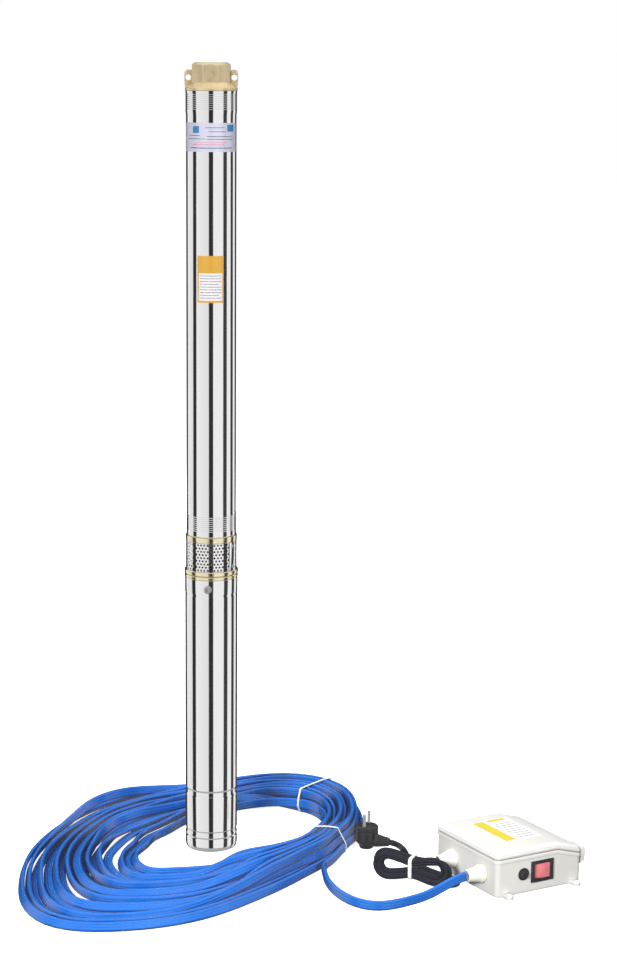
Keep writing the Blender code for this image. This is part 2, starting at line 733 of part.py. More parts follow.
def filler_plug():
    """The slotted plug of the motor's filling hole."""
    seat = MOTOR_HEAD_RADIUS + SEAT
    head = seat + FILLER_HEAD_HEIGHT
    edge = FILLER_HEAD_HEIGHT / 4
    foot = MOTOR_HEAD_RADIUS - FILLER_SHANK_LENGTH
    profile = [
        (0, head),
        (FILLER_HEAD_RADIUS - edge, head),
        (FILLER_HEAD_RADIUS, head - edge),
        (FILLER_HEAD_RADIUS, seat),
        (FILLER_SHANK_RADIUS, seat),
        (FILLER_SHANK_RADIUS, foot),
        (0, foot),
    ]
    plug = turned("filler_plug", profile, STEEL, HIDDEN, **filler_axis())
    slot = FILLER_HEAD_HEIGHT / 4
    long = FILLER_HEAD_RADIUS * 2
    slot_cutter = block("filler_slot", (-long, -slot, head - 2 * slot), (long, slot, head + slot), **filler_axis())
    cut(plug, slot_cutter)


def lower_end_bell():
    """The lower bearing carrier, held by the rolled groove around it."""
    rim = MOTOR_BORE - SEAT
    waist = rim - ROLLED_GROOVE_DEPTH
    slope = ROLLED_GROOVE_DEPTH + SEAT
    web = LOWER_BELL_BOTTOM + BELL_WEB
    hub = BELL_BORE + BELL_HUB_WALL
    wall = waist - BELL_RIM_WALL
    profile = [
        (rim, LOWER_BELL_TOP),
        (rim, GROOVE_TOP + SEAT),
        (waist, GROOVE_TOP + SEAT - slope),
        (waist, GROOVE_BOTTOM - SEAT + slope),
        (rim, GROOVE_BOTTOM - SEAT),
        (rim, LOWER_BELL_BOTTOM),
        (BELL_BORE, LOWER_BELL_BOTTOM),
        (BELL_BORE, LOWER_BELL_TOP),
        (hub, LOWER_BELL_TOP),
        (hub, web),
        (wall, web),
        (wall, LOWER_BELL_TOP),
    ]
    turned("lower_end_bell", profile, STEEL, SMALL)


def bearing_bush(name, seat, upward):
    """A flanged carbon bush, its sleeve running down or up from the flange's seat."""
    way = 1 if upward else -1
    flange = BUSH_RADIUS + BELL_HUB_WALL
    face = seat - way * SEAT
    profile = [
        (flange, face - way * BUSH_FLANGE),
        (flange, face),
        (BUSH_RADIUS, face),
        (BUSH_RADIUS, face + way * BUSH_HEIGHT),
        (SHAFT_BORE, face + way * BUSH_HEIGHT),
        (SHAFT_BORE, face - way * BUSH_FLANGE),
    ]
    turned(name, profile if not upward else profile[::-1], CARBON, SMALL)


def thrust_bearing():
    """The cup that takes the rotor's weight, and the disc that turns on it."""
    bore = THRUST_DISC_RADIUS + RUNNING
    outer = bore + THRUST_SEAT_WALL
    top = LOWER_BELL_BOTTOM - SEAT
    cup = [
        (0, THRUST_FLOOR),
        (bore, THRUST_FLOOR),
        (bore, top),
        (outer, top),
        (outer, THRUST_SEAT_BOTTOM),
        (0, THRUST_SEAT_BOTTOM),
    ]
    turned("thrust_bearing_seat", cup, STEEL, SMALL)
    disc = ring(THRUST_DISC_RADIUS, SHAFT_BORE, SHAFT_BOTTOM, SHAFT_BOTTOM + THRUST_DISC_HEIGHT)
    turned("thrust_disc", disc, CARBON, SMALL)


def motor_shaft():
    spline = SHAFT_RADIUS - SHAFT_SPLINE_STEP
    profile = [
        (0, SHAFT_TOP),
        (spline, SHAFT_TOP),
        (spline, COUPLING_BOTTOM),
        (SHAFT_RADIUS, COUPLING_BOTTOM - SEAT),
        (SHAFT_RADIUS, SHAFT_BOTTOM),
        (0, SHAFT_BOTTOM),
    ]
    turned("motor_shaft", profile, STEEL, SMALL)


def rotor_core():
    """The rotor's lamination stack between its two end rings."""
    end_ring = ROTOR_RADIUS - WINDING_INSET
    profile = [
        (end_ring, STATOR_TOP + ROTOR_RING_HEIGHT),
        (end_ring, STATOR_TOP),
        (ROTOR_RADIUS, STATOR_TOP),
        (ROTOR_RADIUS, STATOR_BOTTOM),
        (end_ring, STATOR_BOTTOM),
        (end_ring, STATOR_BOTTOM - ROTOR_RING_HEIGHT),
        (SHAFT_BORE, STATOR_BOTTOM - ROTOR_RING_HEIGHT),
        (SHAFT_BORE, STATOR_TOP + ROTOR_RING_HEIGHT),
    ]
    turned("rotor_core", profile, STEEL, SMALL)


def stator():
    """The stator core and the end turns of its winding above and below."""
    outer = MOTOR_BORE - SEAT
    bore = (ROTOR_RADIUS + RUNNING) / math.cos(math.pi / SMALL)
    turned("stator_core", ring(outer, bore, STATOR_BOTTOM, STATOR_TOP), STEEL)
    inner = bore + WINDING_INSET
    far = outer - WINDING_INSET
    edge = WINDING_INSET
    for name, foot in (
        ("lower_end_winding", STATOR_BOTTOM - SEAT - WINDING_HEIGHT),
        ("upper_end_winding", STATOR_TOP + SEAT),
    ):
        top = foot + WINDING_HEIGHT
        profile = [
            (far - edge, top),
            (far, top - edge),
            (far, foot + edge),
            (far - edge, foot),
            (inner + edge, foot),
            (inner, foot + edge),
            (inner, top - edge),
            (inner + edge, top),
        ]
        turned(name, profile, COPPER, SMALL)


def upper_end_bell():
    """The brass motor head: it closes the shell and carries the upper bush and the shaft seal."""
    outer = MOTOR_BORE - SEAT
    wall = outer - BELL_RIM_WALL
    hub = BELL_BORE + BELL_HUB_WALL
    web = MOTOR_TOP - SEAL_RECESS_DEPTH - BELL_WEB
    recess = BELL_BORE + BELL_HUB_WALL / 2
    profile = [
        (HEAD_RIM_RADIUS, MOTOR_TOP),
        (HEAD_RIM_RADIUS, MOTOR_SHELL_TOP + SEAT),
        (outer, MOTOR_SHELL_TOP + SEAT),
        (outer, UPPER_BELL_BOTTOM),
        (wall, UPPER_BELL_BOTTOM),
        (wall, web),
        (hub, web),
        (hub, UPPER_BELL_BOTTOM),
        (BELL_BORE, UPPER_BELL_BOTTOM),
        (BELL_BORE, MOTOR_TOP - SEAL_RECESS_DEPTH),
        (recess, MOTOR_TOP - SEAL_RECESS_DEPTH),
        (recess, MOTOR_TOP),
    ]
    bell = turned("upper_end_bell", profile, BRASS)
    cut(bell, filler_bore("filler_bore_in_bell"))


def shaft_seal():
    """The still and the turning half of the face seal, and the slinger that keeps sand off it."""
    floor = MOTOR_TOP - SEAL_RECESS_DEPTH
    seat = ring(BELL_BORE + BELL_HUB_WALL / 2 - SEAT, SHAFT_BORE + RUNNING, floor + SEAT, floor + SEAT + SEAL_HEIGHT)
    turned("seal_seat", seat, CARBON, SMALL)
    face = floor + 2 * SEAT + SEAL_HEIGHT
    turned("seal_ring", ring(BELL_BORE, SHAFT_BORE, face, face + SEAL_RING_HEIGHT), STEEL, SMALL)
    foot = FLANGE_TOP + SEAT
    top = foot + SLINGER_HEIGHT
    stem = BRACKET_BORE * math.cos(math.pi / ROUND) - RUNNING
    low = face + SEAL_RING_HEIGHT + SEAT
    profile = [
        (SHAFT_BORE + SHAFT_SPLINE_STEP, top),
        (min(SLINGER_RADIUS, stem), foot),
        (SHAFT_BORE + SHAFT_SPLINE_STEP, low),
        (SHAFT_BORE, low),
        (SHAFT_BORE, top),
    ]
    turned("sand_slinger", profile, RUBBER, SMALL)


def suction_bracket():
    """The brass lantern between motor and pump: four legs, a collar and the casing's spigot."""
    bore = BRACKET_LEG_OUTER - BRACKET_LEG_WALL
    profile = [
        (CASING_BORE - SEAT, BRACKET_TOP),
        (CASING_BORE - SEAT, COLLAR_TOP),
        (COLLAR_RADIUS, COLLAR_TOP),
        (COLLAR_RADIUS, COLLAR_BOTTOM),
        (BRACKET_LEG_OUTER, COLLAR_BOTTOM),
        (BRACKET_LEG_OUTER, FLANGE_TOP),
        (FLANGE_RADIUS, FLANGE_TOP),
        (FLANGE_RADIUS, MOTOR_TOP + SEAT),
        (BRACKET_BORE, MOTOR_TOP + SEAT),
        (BRACKET_BORE, FLANGE_TOP),
        (bore, FLANGE_TOP),
        (bore, BRACKET_TOP),
    ]
    bracket = turned("suction_bracket", profile, BRASS)
    low = FLANGE_TOP + BRACKET_WINDOW_MARGIN
    high = COLLAR_BOTTOM - BRACKET_WINDOW_MARGIN
    half = BRACKET_WINDOW_WIDTH / 2
    reach = BRACKET_LEG_OUTER + BRACKET_LEG_WALL
    window_x = block("window_along_x", (-reach, -half, low), (reach, half, high))
    window_y = block("window_along_y", (-half, -reach, low), (half, reach, high))
    half_notch = LEAD_GLAND_WIDTH / 2 + NOTCH_CLEARANCE
    notch_start = LEAD_GLAND_PLACE - LEAD_GLAND_DEPTH / 2 - SEAT
    notch = block(
        "lead_notch",
        (-half_notch, notch_start, MOTOR_TOP - SEAT),
        (half_notch, FLANGE_RADIUS + NOTCH_CLEARANCE, FLANGE_TOP + SEAT),
    )
    cut(bracket, window_x, window_y, notch)


def motor_lead_gland():
    """The moulded plug of the motor lead, in the notch of the bracket's flange."""
    half_depth = LEAD_GLAND_DEPTH / 2
    half_width = LEAD_GLAND_WIDTH / 2 - half_depth
    outline = arc((half_width, LEAD_GLAND_PLACE), half_depth, -90, 90, 4)
    outline += arc((-half_width, LEAD_GLAND_PLACE), half_depth, 90, 270, 4)
    plate("motor_lead_gland", outline, MOTOR_TOP + SEAT, MOTOR_TOP + SEAT + LEAD_GLAND_HEIGHT, RUBBER)


def strainer_gap():
    """Half the angle that the strainer leaves open for the cable."""
    return math.asin((GUARD_WIDTH / 2 - GUARD_SHEET) / STRAINER_RADIUS)


def intake_strainer():
    """The perforated sleeve: a lattice of diamond cells, each with its hole, rolled and thickened."""
    half_gap = strainer_gap()
    start = math.radians(90) + half_gap
    sweep = math.radians(360) - 2 * half_gap
    low = FLANGE_TOP + SEAT
    high = COLLAR_BOTTOM - SEAT
    shape = bmesh.new()
    corners = {}

    def corner(column, row):
        """The lattice point at this half column and half row, on the sleeve."""
        if (column, row) not in corners:
            angle = start + sweep * column / (2 * HOLE_COLUMNS)
            if row < 0 or row > HOLE_ROWS:
                height = low if row < 0 else high
            else:
                height = low + HOLE_EDGE + (high - low - 2 * HOLE_EDGE) * row / HOLE_ROWS
            flat = (STRAINER_RADIUS * math.cos(angle), STRAINER_RADIUS * math.sin(angle))
            corners[column, row] = shape.verts.new((*flat, height))
        return corners[column, row]

    cells = []
    width = 2 * HOLE_COLUMNS
    for row in range(HOLE_ROWS + 1):
        for column in range(row % 2, width + 1, 2):
            around = [(column - 1, row), (column, row - 1), (column + 1, row), (column, row + 1)]
            inside = [(c, r) for c, r in around if 0 <= c <= width and 0 <= r <= HOLE_ROWS]
            if len(inside) > 2:
                face = shape.faces.new([corner(c, r) for c, r in inside])
                if len(inside) == 4:
                    cells.append(face)
    for row, edge_row in ((0, -1), (HOLE_ROWS, HOLE_ROWS + 1)):
        first = (row + 1) % 2
        for column in range(first, width - 1, 2):
            low_points = [corner(column, edge_row), corner(column + 2, edge_row)]
            high_points = [corner(column + 2, row), corner(column, row)]
            loop = low_points + high_points
            shape.faces.new(loop if edge_row < 0 else loop[::-1])
        if first:
            ends = ((0, 1, corner(0, row)), (width - 1, width, corner(width, row)))
            for near, far, lone in ends:
                loop = [corner(near, edge_row), corner(far, edge_row)]
                if near == 0:
                    loop += [corner(1, row), lone]
                else:
                    loop += [lone, corner(near, row)]
                shape.faces.new(loop if edge_row < 0 else loop[::-1])
    for side, near in ((0, 1), (width, width - 1)):
        for row, next_row in ((0, 1), (HOLE_ROWS, HOLE_ROWS - 1)):
            loop = [corner(side, row), corner(near, row), corner(side, next_row)]
            shape.faces.new(loop if (side == 0) == (row == 0) else loop[::-1])
    shape.normal_update()
    bmesh.ops.inset_individual(shape, faces=cells, thickness=HOLE_MARGIN, use_even_offset=True)
    bmesh.ops.delete(shape, geom=cells, context="FACES")
    sleeve = mesh_object("intake_strainer", from_bmesh("intake_strainer", shape), POLISHED)
    sheet = sleeve.modifiers.new("Sheet", "SOLIDIFY")
    sheet.thickness = STRAINER_SHEET
    sheet.offset = -1


def on_strainer(radius, height):
    """A place on the seam strip's line, with its own Z pointing out."""
    turn = SEAM_STRIP_TURN - math.radians(90)
    return {
        "at": (radius * math.cos(turn), radius * math.sin(turn), height),
        "turn": Euler((0, math.radians(90), turn)),
    }


def seam_strip():
    """The plain strip over the strainer's seam, with a screw near each end."""
    turn = SEAM_STRIP_TURN - math.radians(90)
    inner = STRAINER_RADIUS + SEAT
    half = SEAM_STRIP_WIDTH / 2 / inner
    start = math.degrees(turn - half)
    end = math.degrees(turn + half)
    outline = arc((0, 0), inner + SEAM_STRIP_SHEET, start, end, 4) + arc((0, 0), inner, end, start, 4)
    low = FLANGE_TOP + SEAT
    high = COLLAR_BOTTOM - SEAT
    strip = plate("strainer_seam_strip", outline, low, high, POLISHED)
    shank = SEAM_SCREW_RADIUS / 2
    inward = STRAINER_SHEET * 2
    for name, height in (
        ("strainer_screw_lower", low + SEAM_SCREW_INSET),
        ("strainer_screw_upper", high - SEAM_SCREW_INSET),
    ):
        hole = rod(f"{name}_hole", shank + SEAT, -inward, inward, facets=8, **on_strainer(inner, height))
        cut(strip, hole)
        face = SEAM_STRIP_SHEET + SEAT
        profile = [
            (0, face + SEAM_SCREW_HEIGHT),
            (SEAM_SCREW_RADIUS * 0.7, face + SEAM_SCREW_HEIGHT),
            (SEAM_SCREW_RADIUS, face),
            (shank, face),
            (shank, SEAT),
            (0, SEAT),
        ]
        turned(name, profile, STEEL, 8, **on_strainer(inner, height))


def cable_guard():
    """The channel that holds the motor lead against the intake."""
    half = GUARD_WIDTH / 2
    inner = half - GUARD_SHEET
    foot = math.sqrt(FLANGE_RADIUS**2 - inner**2) + SEAT
    back = GUARD_REACH - GUARD_SHEET
    bend = GUARD_SHEET * 1.5
    outline = [
        (half, foot),
        (half, GUARD_REACH - bend),
        (half - bend, GUARD_REACH),
        (bend - half, GUARD_REACH),
        (-half, GUARD_REACH - bend),
        (-half, foot),
        (-inner, foot),
        (-inner, back),
        (inner, back),
        (inner, foot),
    ]
    plate("cable_guard", outline, MOTOR_TOP + SEAT, COLLAR_TOP + GUARD_OVERLAP, POLISHED)


def shaft_coupling():
    section = ring(COUPLING_RADIUS, SHAFT_BORE, COUPLING_BOTTOM, COUPLING_BOTTOM + COUPLING_HEIGHT)
    turned("shaft_coupling", section, STEEL, SMALL)


def pump_shaft():
    """The hexagonal shaft that drives every impeller."""
    bottom = SHAFT_TOP + SEAT
    top = SPIDER_TOP - BOWL_PLATE
    rod("pump_shaft", HEX_RADIUS, bottom, top, STEEL, 6)


def impeller_heights(stage):
    """Underside and top of the impeller in this stage."""
    bottom = STACK_BOTTOM + stage * STAGE_PITCH + BOWL_PLATE + IMPELLER_GAP
    return bottom, bottom + IMPELLER_DEPTH


def curved_vanes(name, count, inner, outer, bottom, top, sweep):
    """Backward-curved vanes between two radii, as one set to join to their discs."""
    shape = bmesh.new()
    steps = 4
    for number in range(count):
        start = 2 * math.pi * number / count
        rails = []
        for step in range(steps + 1):
            share = step / steps
            radius = inner + (outer - inner) * share
            angle = start + sweep * share
            spread = VANE_THICKNESS / 2 / radius
            rails.append([(radius * math.cos(a), radius * math.sin(a)) for a in (angle - spread, angle + spread)])
        outline = [rail[0] for rail in rails] + [rail[1] for rail in reversed(rails)]
        low = [shape.verts.new((x, y, bottom)) for x, y in outline]
        high = [shape.verts.new((x, y, top)) for x, y in outline]
        last = len(outline)
        for near in range(steps):
            far = last - 1 - near
            shape.faces.new([low[near], low[near + 1], low[far - 1], low[far]])
            shape.faces.new([high[near + 1], high[near], high[far], high[far - 1]])
        for index in range(last):
            after = (index + 1) % last
            shape.faces.new([low[index], low[after], high[after], high[index]])
    bmesh.ops.recalc_face_normals(shape, faces=shape.faces)
    return mesh_object(name, from_bmesh(name, shape))


def first_impeller():
    """A shrouded impeller: an eye ring below, curved vanes and a hub plate above."""
    bottom, top = impeller_heights(0)
    plate_bottom = top - SHROUD
    hub_plate = [
        (IMPELLER_HUB, top + STAGE_PITCH / 4),
        (IMPELLER_HUB, top),
        (IMPELLER_RADIUS, top),
        (IMPELLER_RADIUS, plate_bottom),
        (HUB_BORE, plate_bottom),
        (HUB_BORE, top + STAGE_PITCH / 4),
    ]
    impeller = turned("first_impeller", hub_plate, RESIN, SMALL)
    eye_ring = turned("impeller_eye_ring", ring(IMPELLER_RADIUS, BOWL_EYE, bottom, bottom + SHROUD), facets=SMALL)
    vanes = curved_vanes(
        "impeller_vanes",
        VANES,
        BOWL_EYE + VANE_THICKNESS,
        IMPELLER_RADIUS - VANE_THICKNESS,
        bottom + SHROUD / 2,
        top - SHROUD / 2,
        VANE_SWEEP,
    )
    unite(impeller, vanes, eye_ring)


def first_bowl():
    """The first stage's bowl, with the guide vanes that turn the flow back to the next eye."""
    bottom = STACK_BOTTOM
    top = STACK_BOTTOM + STAGE_PITCH - SEAT
    profile = [
        (STACK_RADIUS, top),
        (STACK_RADIUS, bottom),
        (BOWL_EYE, bottom),
        (BOWL_EYE, bottom + BOWL_PLATE),
        (BOWL_BORE, bottom + BOWL_PLATE),
        (BOWL_BORE, top),
    ]
    bowl = turned("first_bowl", profile, RESIN, SMALL)
    vanes = curved_vanes(
        "bowl_vanes",
        GUIDE_VANES,
        IMPELLER_HUB + RUNNING + VANE_THICKNESS,
        (STACK_RADIUS + BOWL_BORE) / 2 * math.cos(math.pi / SMALL),
        impeller_heights(0)[1] + IMPELLER_GAP,
        top - SHROUD,
        -VANE_SWEEP / 2,
    )
    unite(bowl, vanes)


def impeller_stack():
    """The impellers of the later stages on their joined hubs."""
    stages = range(1, STAGES)
    outer = []
    for stage in reversed(stages):
        bottom, top = impeller_heights(stage)
        outer += [(IMPELLER_HUB, top), (IMPELLER_RADIUS, top), (IMPELLER_RADIUS, bottom), (IMPELLER_HUB, bottom)]
    low = impeller_heights(0)[1] + STAGE_PITCH / 4 + SEAT
    high = STACK_TOP - SEAT
    profile = [(IMPELLER_HUB, high), *outer, (IMPELLER_HUB, low), (HUB_BORE, low), (HUB_BORE, high)]
    turned("impeller_stack", profile, RESIN, HIDDEN)


def bowl_stack():
    """The bowls of the later stages, clamped into one sleeve."""
    low = STACK_BOTTOM + STAGE_PITCH
    inner = []
    for stage in range(1, STAGES):
        bottom = STACK_BOTTOM + stage * STAGE_PITCH
        top = bottom + BOWL_PLATE
        inner += [(BOWL_EYE, bottom), (BOWL_EYE, top), (BOWL_BORE, top)]
        if stage < STAGES - 1:
            inner.append((BOWL_BORE, bottom + STAGE_PITCH))
    profile = [(STACK_RADIUS, STACK_TOP), (STACK_RADIUS, low), *inner, (BOWL_BORE, STACK_TOP)]
    turned("bowl_stack", profile, RESIN, HIDDEN)


def upper_bearing_spider():
    """The top bearing of the pump shaft, with passages around its hub."""
    hub = IMPELLER_HUB
    bore = HUB_BORE + RUNNING
    rim = STACK_RADIUS - BOWL_WALL
    deck = SPIDER_BOTTOM + BOWL_PLATE * 2
    profile = [
        (STACK_RADIUS, SPIDER_TOP),
        (STACK_RADIUS, SPIDER_BOTTOM),
        (bore, SPIDER_BOTTOM),
        (bore, SPIDER_TOP),
        (hub, SPIDER_TOP),
        (hub, deck),
        (rim, deck),
        (rim, SPIDER_TOP),
    ]
    spider = turned("upper_bearing_spider", profile, RESIN, SMALL)
    centre = (hub + rim) / 2
    passage = (rim - hub) / 2 - RUNNING
    for number in range(GUIDE_WINDOWS):
        angle = 2 * math.pi * number / GUIDE_WINDOWS
        flat = (centre * math.cos(angle), centre * math.sin(angle), 0)
        cut(spider, rod(f"spider_passage_{number + 1}", passage, SPIDER_BOTTOM - SEAT, deck + SEAT, facets=8, at=flat))


def pump_casing():
    """The pump's steel shell, thicker at both ends where it is threaded."""
    bottom = COLLAR_TOP + SEAT
    lower = CASING_RADIUS + CASING_BAND_STEP
    slope = CASING_UPPER_STEP
    profile = [
        (CASING_UPPER_RADIUS, CASING_TOP - SEAT),
        (CASING_UPPER_RADIUS, UPPER_BAND_BOTTOM),
        (CASING_RADIUS, UPPER_BAND_BOTTOM - slope),
        (CASING_RADIUS, LOWER_BAND_TOP + slope),
        (lower, LOWER_BAND_TOP),
        (lower, bottom),
        (CASING_BORE, bottom),
        (CASING_BORE, CASING_TOP - SEAT),
    ]
    turned("pump_casing", profile, POLISHED)


def head_heights():
    """Heights inside the discharge head: valve seat, guide ledge and outlet socket."""
    seat = HEAD_BOTTOM + VALVE_SEAT_HEIGHT
    ledge = seat + GUIDE_LEDGE_ABOVE_SEAT
    socket = PUMP_TOP - OUTLET_SOCKET_DEPTH
    return seat, ledge, socket


def around_dome(clearance, bottom):
    """The outside of the discharge head's dome and rim, grown by a clearance and filled."""
    corner = OUTLET_ACROSS_FLATS / 2 / math.cos(math.pi / 8)
    dome = OUTLET_RIM_RADIUS - corner
    return [
        (0, SPOUT_BOTTOM + clearance),
        (corner - 2 * SEAT + clearance, SPOUT_BOTTOM + clearance),
        (corner + dome * 0.3 + clearance, RIM_TOP + OUTLET_DOME_HEIGHT * 0.42 + clearance),
        (OUTLET_RIM_RADIUS + clearance, RIM_TOP + clearance),
        (OUTLET_RIM_RADIUS + clearance, bottom),
        (0, bottom),
    ]


def lifting_lug(name, side):
    """One lug: a plate beside the spout, on the dome, with a round head around its eye."""
    centre = (LUG_REACH - LUG_EYE_INSET, RIM_TOP + LUG_EYE_ABOVE_RIM)
    root = OUTLET_ACROSS_FLATS / 2 + SEAT
    foot = RIM_TOP - OUTLET_RIM_HEIGHT / 2
    top = centre[1] + LUG_TOP_ABOVE_EYE
    rounding = LUG_TOP_ABOVE_EYE / 2
    outline = [(root, foot), (OUTLET_RIM_RADIUS - SEAT, foot), (LUG_REACH, centre[1])]
    outline += arc((LUG_REACH - rounding, top - rounding), rounding, 0, 90, 4)
    outline += [(root, top)]
    axes = upright(0) if side > 0 else upright(math.pi)
    half = LUG_THICKNESS / 2
    lug = plate(name, outline, -half, half, BRASS, axes=axes)
    eye = rod(
        f"{name}_eye",
        LUG_EYE_RADIUS,
        -LUG_THICKNESS,
        LUG_THICKNESS,
        facets=HIDDEN,
        at=(side * centre[0], 0, centre[1]),
        turn=(math.radians(90), 0, 0),
    )
    cut(lug, eye, turned(f"{name}_seat", around_dome(SEAT, foot - SEAT)))


def discharge_head():
    """The brass outlet: a domed flange, an octagonal spout and the valve's seat."""
    seat, ledge, socket = head_heights()
    spigot = CASING_BORE - SEAT
    corner = OUTLET_ACROSS_FLATS / 2 / math.cos(math.pi / 8)
    profile = around_dome(0, CASING_TOP)[1:-1] + [
        (spigot, CASING_TOP),
        (spigot, HEAD_BOTTOM),
        (VALVE_SEAT_BORE, HEAD_BOTTOM),
        (VALVE_SEAT_BORE, seat),
        (VALVE_CHAMBER, seat),
        (VALVE_CHAMBER, ledge),
        (GUIDE_RADIUS + SEAT, ledge),
        (GUIDE_RADIUS + SEAT, socket),
        (OUTLET_BORE, socket),
        (OUTLET_BORE, SPOUT_BOTTOM),
    ]
    head = turned("discharge_head", profile, BRASS)
    turn = math.radians(22.5)
    octagon = [(corner * math.cos(turn + k * math.pi / 4), corner * math.sin(turn + k * math.pi / 4)) for k in range(8)]
    low = SPOUT_BOTTOM - OUTLET_DOME_HEIGHT / 2
    spout = plate("spout_octagon", octagon, low, PUMP_TOP)
    over = PUMP_TOP + OUTLET_CHAMFER
    rounding = [(0, over), (corner - 3 * OUTLET_CHAMFER, over), (corner + OUTLET_CHAMFER, PUMP_TOP - 2 * OUTLET_CHAMFER)]
    rounding += [(corner + OUTLET_CHAMFER, low - SEAT), (0, low - SEAT)]
    boolean(spout, turned("spout_rounding", rounding), "INTERSECT")
    cut(spout, rod("spout_bore", OUTLET_BORE, low - SEAT, over, facets=ROUND))
    unite(head, spout)


def check_valve():
    """The poppet on its seat, and the guide that keeps its stem upright."""
    seat, ledge, _ = head_heights()
    bottom = seat + SEAT
    top = bottom + VALVE_DISC_HEIGHT
    tip = bottom + VALVE_STEM_HEIGHT
    nose = VALVE_SEAT_BORE * math.cos(math.pi / SMALL) - RUNNING
    profile = [
        (0, tip),
        (VALVE_STEM_RADIUS, tip),
        (VALVE_STEM_RADIUS, top),
        (VALVE_DISC_RADIUS * 0.8, top),
        (VALVE_DISC_RADIUS, bottom + VALVE_DISC_HEIGHT / 2),
        (VALVE_DISC_RADIUS, bottom),
        (nose, bottom),
        (nose * 0.5, bottom - VALVE_SEAT_HEIGHT / 2),
        (0, bottom - VALVE_SEAT_HEIGHT / 2),
    ]
    turned("check_valve_poppet", profile, RUBBER, SMALL)
    bore = VALVE_STEM_RADIUS / math.cos(math.pi / SMALL) + SEAT
    foot = ledge + SEAT
    guide = turned("check_valve_guide", ring(GUIDE_RADIUS, bore, foot, foot + GUIDE_HEIGHT), RESIN, SMALL)
    centre = (GUIDE_RADIUS + bore) / 2
    for number in range(GUIDE_WINDOWS):
        angle = 2 * math.pi * number / GUIDE_WINDOWS
        flat = (centre * math.cos(angle), centre * math.sin(angle), 0)
        cut(guide, rod(f"guide_window_{number + 1}", GUIDE_WINDOW_RADIUS, ledge, foot + 2 * GUIDE_HEIGHT, facets=8, at=flat))


def box_axes():
    """The empty that carries the control box, at the corner between its two visible faces."""
    axes = bpy.data.objects.new("control_box_axes", None)
    PARTS.objects.link(axes)
    axes.location = BOX_CORNER
    axes.rotation_euler = (0, 0, BOX_TURN)
    return axes


def seam_height(x):
    """Height of the parting line: level, then falling towards the right-hand end."""
    fall = max(0.0, x - BOX_BEND) / (BOX_LENGTH - BOX_BEND)
    return BOX_SEAM_HEIGHT - BOX_SEAM_DROP * fall


def box_outline(grow):
    """The box's plan, grown or shrunk by this much, with a point where the bend crosses each long wall."""
    radius = max(BOX_ROUND + grow, BOX_WALL / 4)
    low = -grow + radius
    right = BOX_LENGTH + grow - radius
    back = BOX_DEPTH + grow - radius
    points = arc((low, low), radius, 180, 270, 2) + [(BOX_BEND, -grow)]
    points += arc((right, low), radius, 270, 360, 2) + arc((right, back), radius, 0, 90, 2)
    return points + [(BOX_BEND, BOX_DEPTH + grow)] + arc((low, back), radius, 90, 180, 2)


def wall_band(shape, lower, upper):
    for index in range(len(lower)):
        after = (index + 1) % len(lower)
        shape.faces.new([lower[index], lower[after], upper[after], upper[index]])


def level(shape, outline, height_at):
    """Mesh points above an outline, at a height that depends on x."""
    return [shape.verts.new((x, y, height_at(x))) for x, y in outline]


def bent_face(shape, points):
    """Closes a level of points that follows the bend, as a level part and a sloping part."""
    shape.faces.new([point for point in points if point.co.x <= BOX_BEND + MERGE])
    shape.faces.new([point for point in points if point.co.x >= BOX_BEND - MERGE])


def box_base(axes):
    """The tray, with four mounting ears and its openings for switch, button and cables."""
    shape = bmesh.new()
    edge = BOX_WALL / 2
    foot = level(shape, box_outline(-edge), lambda x: 0.0)
    heel = level(shape, box_outline(0), lambda x: edge)
    rim = level(shape, box_outline(0), seam_height)
    inner_rim = level(shape, box_outline(-BOX_WALL), seam_height)
    floor = level(shape, box_outline(-BOX_WALL), lambda x: BOX_WALL)
    for lower, upper in zip((foot, heel, rim, inner_rim), (heel, rim, inner_rim, floor)):
        wall_band(shape, lower, upper)
    shape.faces.new(foot)
    shape.faces.new(floor)
    bmesh.ops.recalc_face_normals(shape, faces=shape.faces)
    tray = mesh_object("box_base", from_bmesh("box_base", shape), BOX_PLASTIC, parent=axes)
    half = EAR_WIDTH / 2
    for number, (x, y, way) in enumerate(
        (
            (EAR_INSET, 0, -1),
            (BOX_LENGTH - EAR_INSET, 0, -1),
            (EAR_INSET, BOX_DEPTH, 1),
            (BOX_LENGTH - EAR_INSET, BOX_DEPTH, 1),
        )
    ):
        inner = y - way * BOX_WALL * 0.7
        tip = y + way * (EAR_REACH - half)
        outline = [(x + way * half, inner)]
        outline += arc((x, tip), half, 0 if way > 0 else 180, 180 if way > 0 else 360, 4)
        outline += [(x - way * half, inner)]
        unite(tray, plate(f"ear_{number + 1}", outline, SEAT, EAR_HEIGHT, parent=axes))
        cut(tray, rod(f"ear_hole_{number + 1}", EAR_HOLE, -EAR_HEIGHT, 2 * EAR_HEIGHT, facets=8, at=(x, tip, 0), parent=axes))
    through = 2 * BOX_WALL
    switch = (SWITCH_CAN_WIDTH / 2 + SEAT, SWITCH_CAN_HEIGHT / 2 + SEAT)
    cut(
        tray,
        block(
            "switch_opening",
            (SWITCH_PLACE - switch[0], -through, SWITCH_HEIGHT - switch[1]),
            (SWITCH_PLACE + switch[0], through, SWITCH_HEIGHT + switch[1]),
            parent=axes,
        ),
        rod(
            "reset_opening",
            RESET_NOSE_RADIUS + SEAT,
            -through,
            through,
            at=(RESET_PLACE, 0, RESET_HEIGHT),
            turn=(math.radians(90), 0, 0),
            parent=axes,
        ),
    )
    for name, y in (("supply_opening", SUPPLY_GLAND_PLACE), ("mains_opening", MAINS_GLAND_PLACE)):
        hole = rod(
            name,
            GLAND_NECK + SEAT,
            -through,
            through,
            at=(0, y, GLAND_HEIGHT),
            turn=(0, math.radians(-90), 0),
            parent=axes,
        )
        cut(tray, hole)


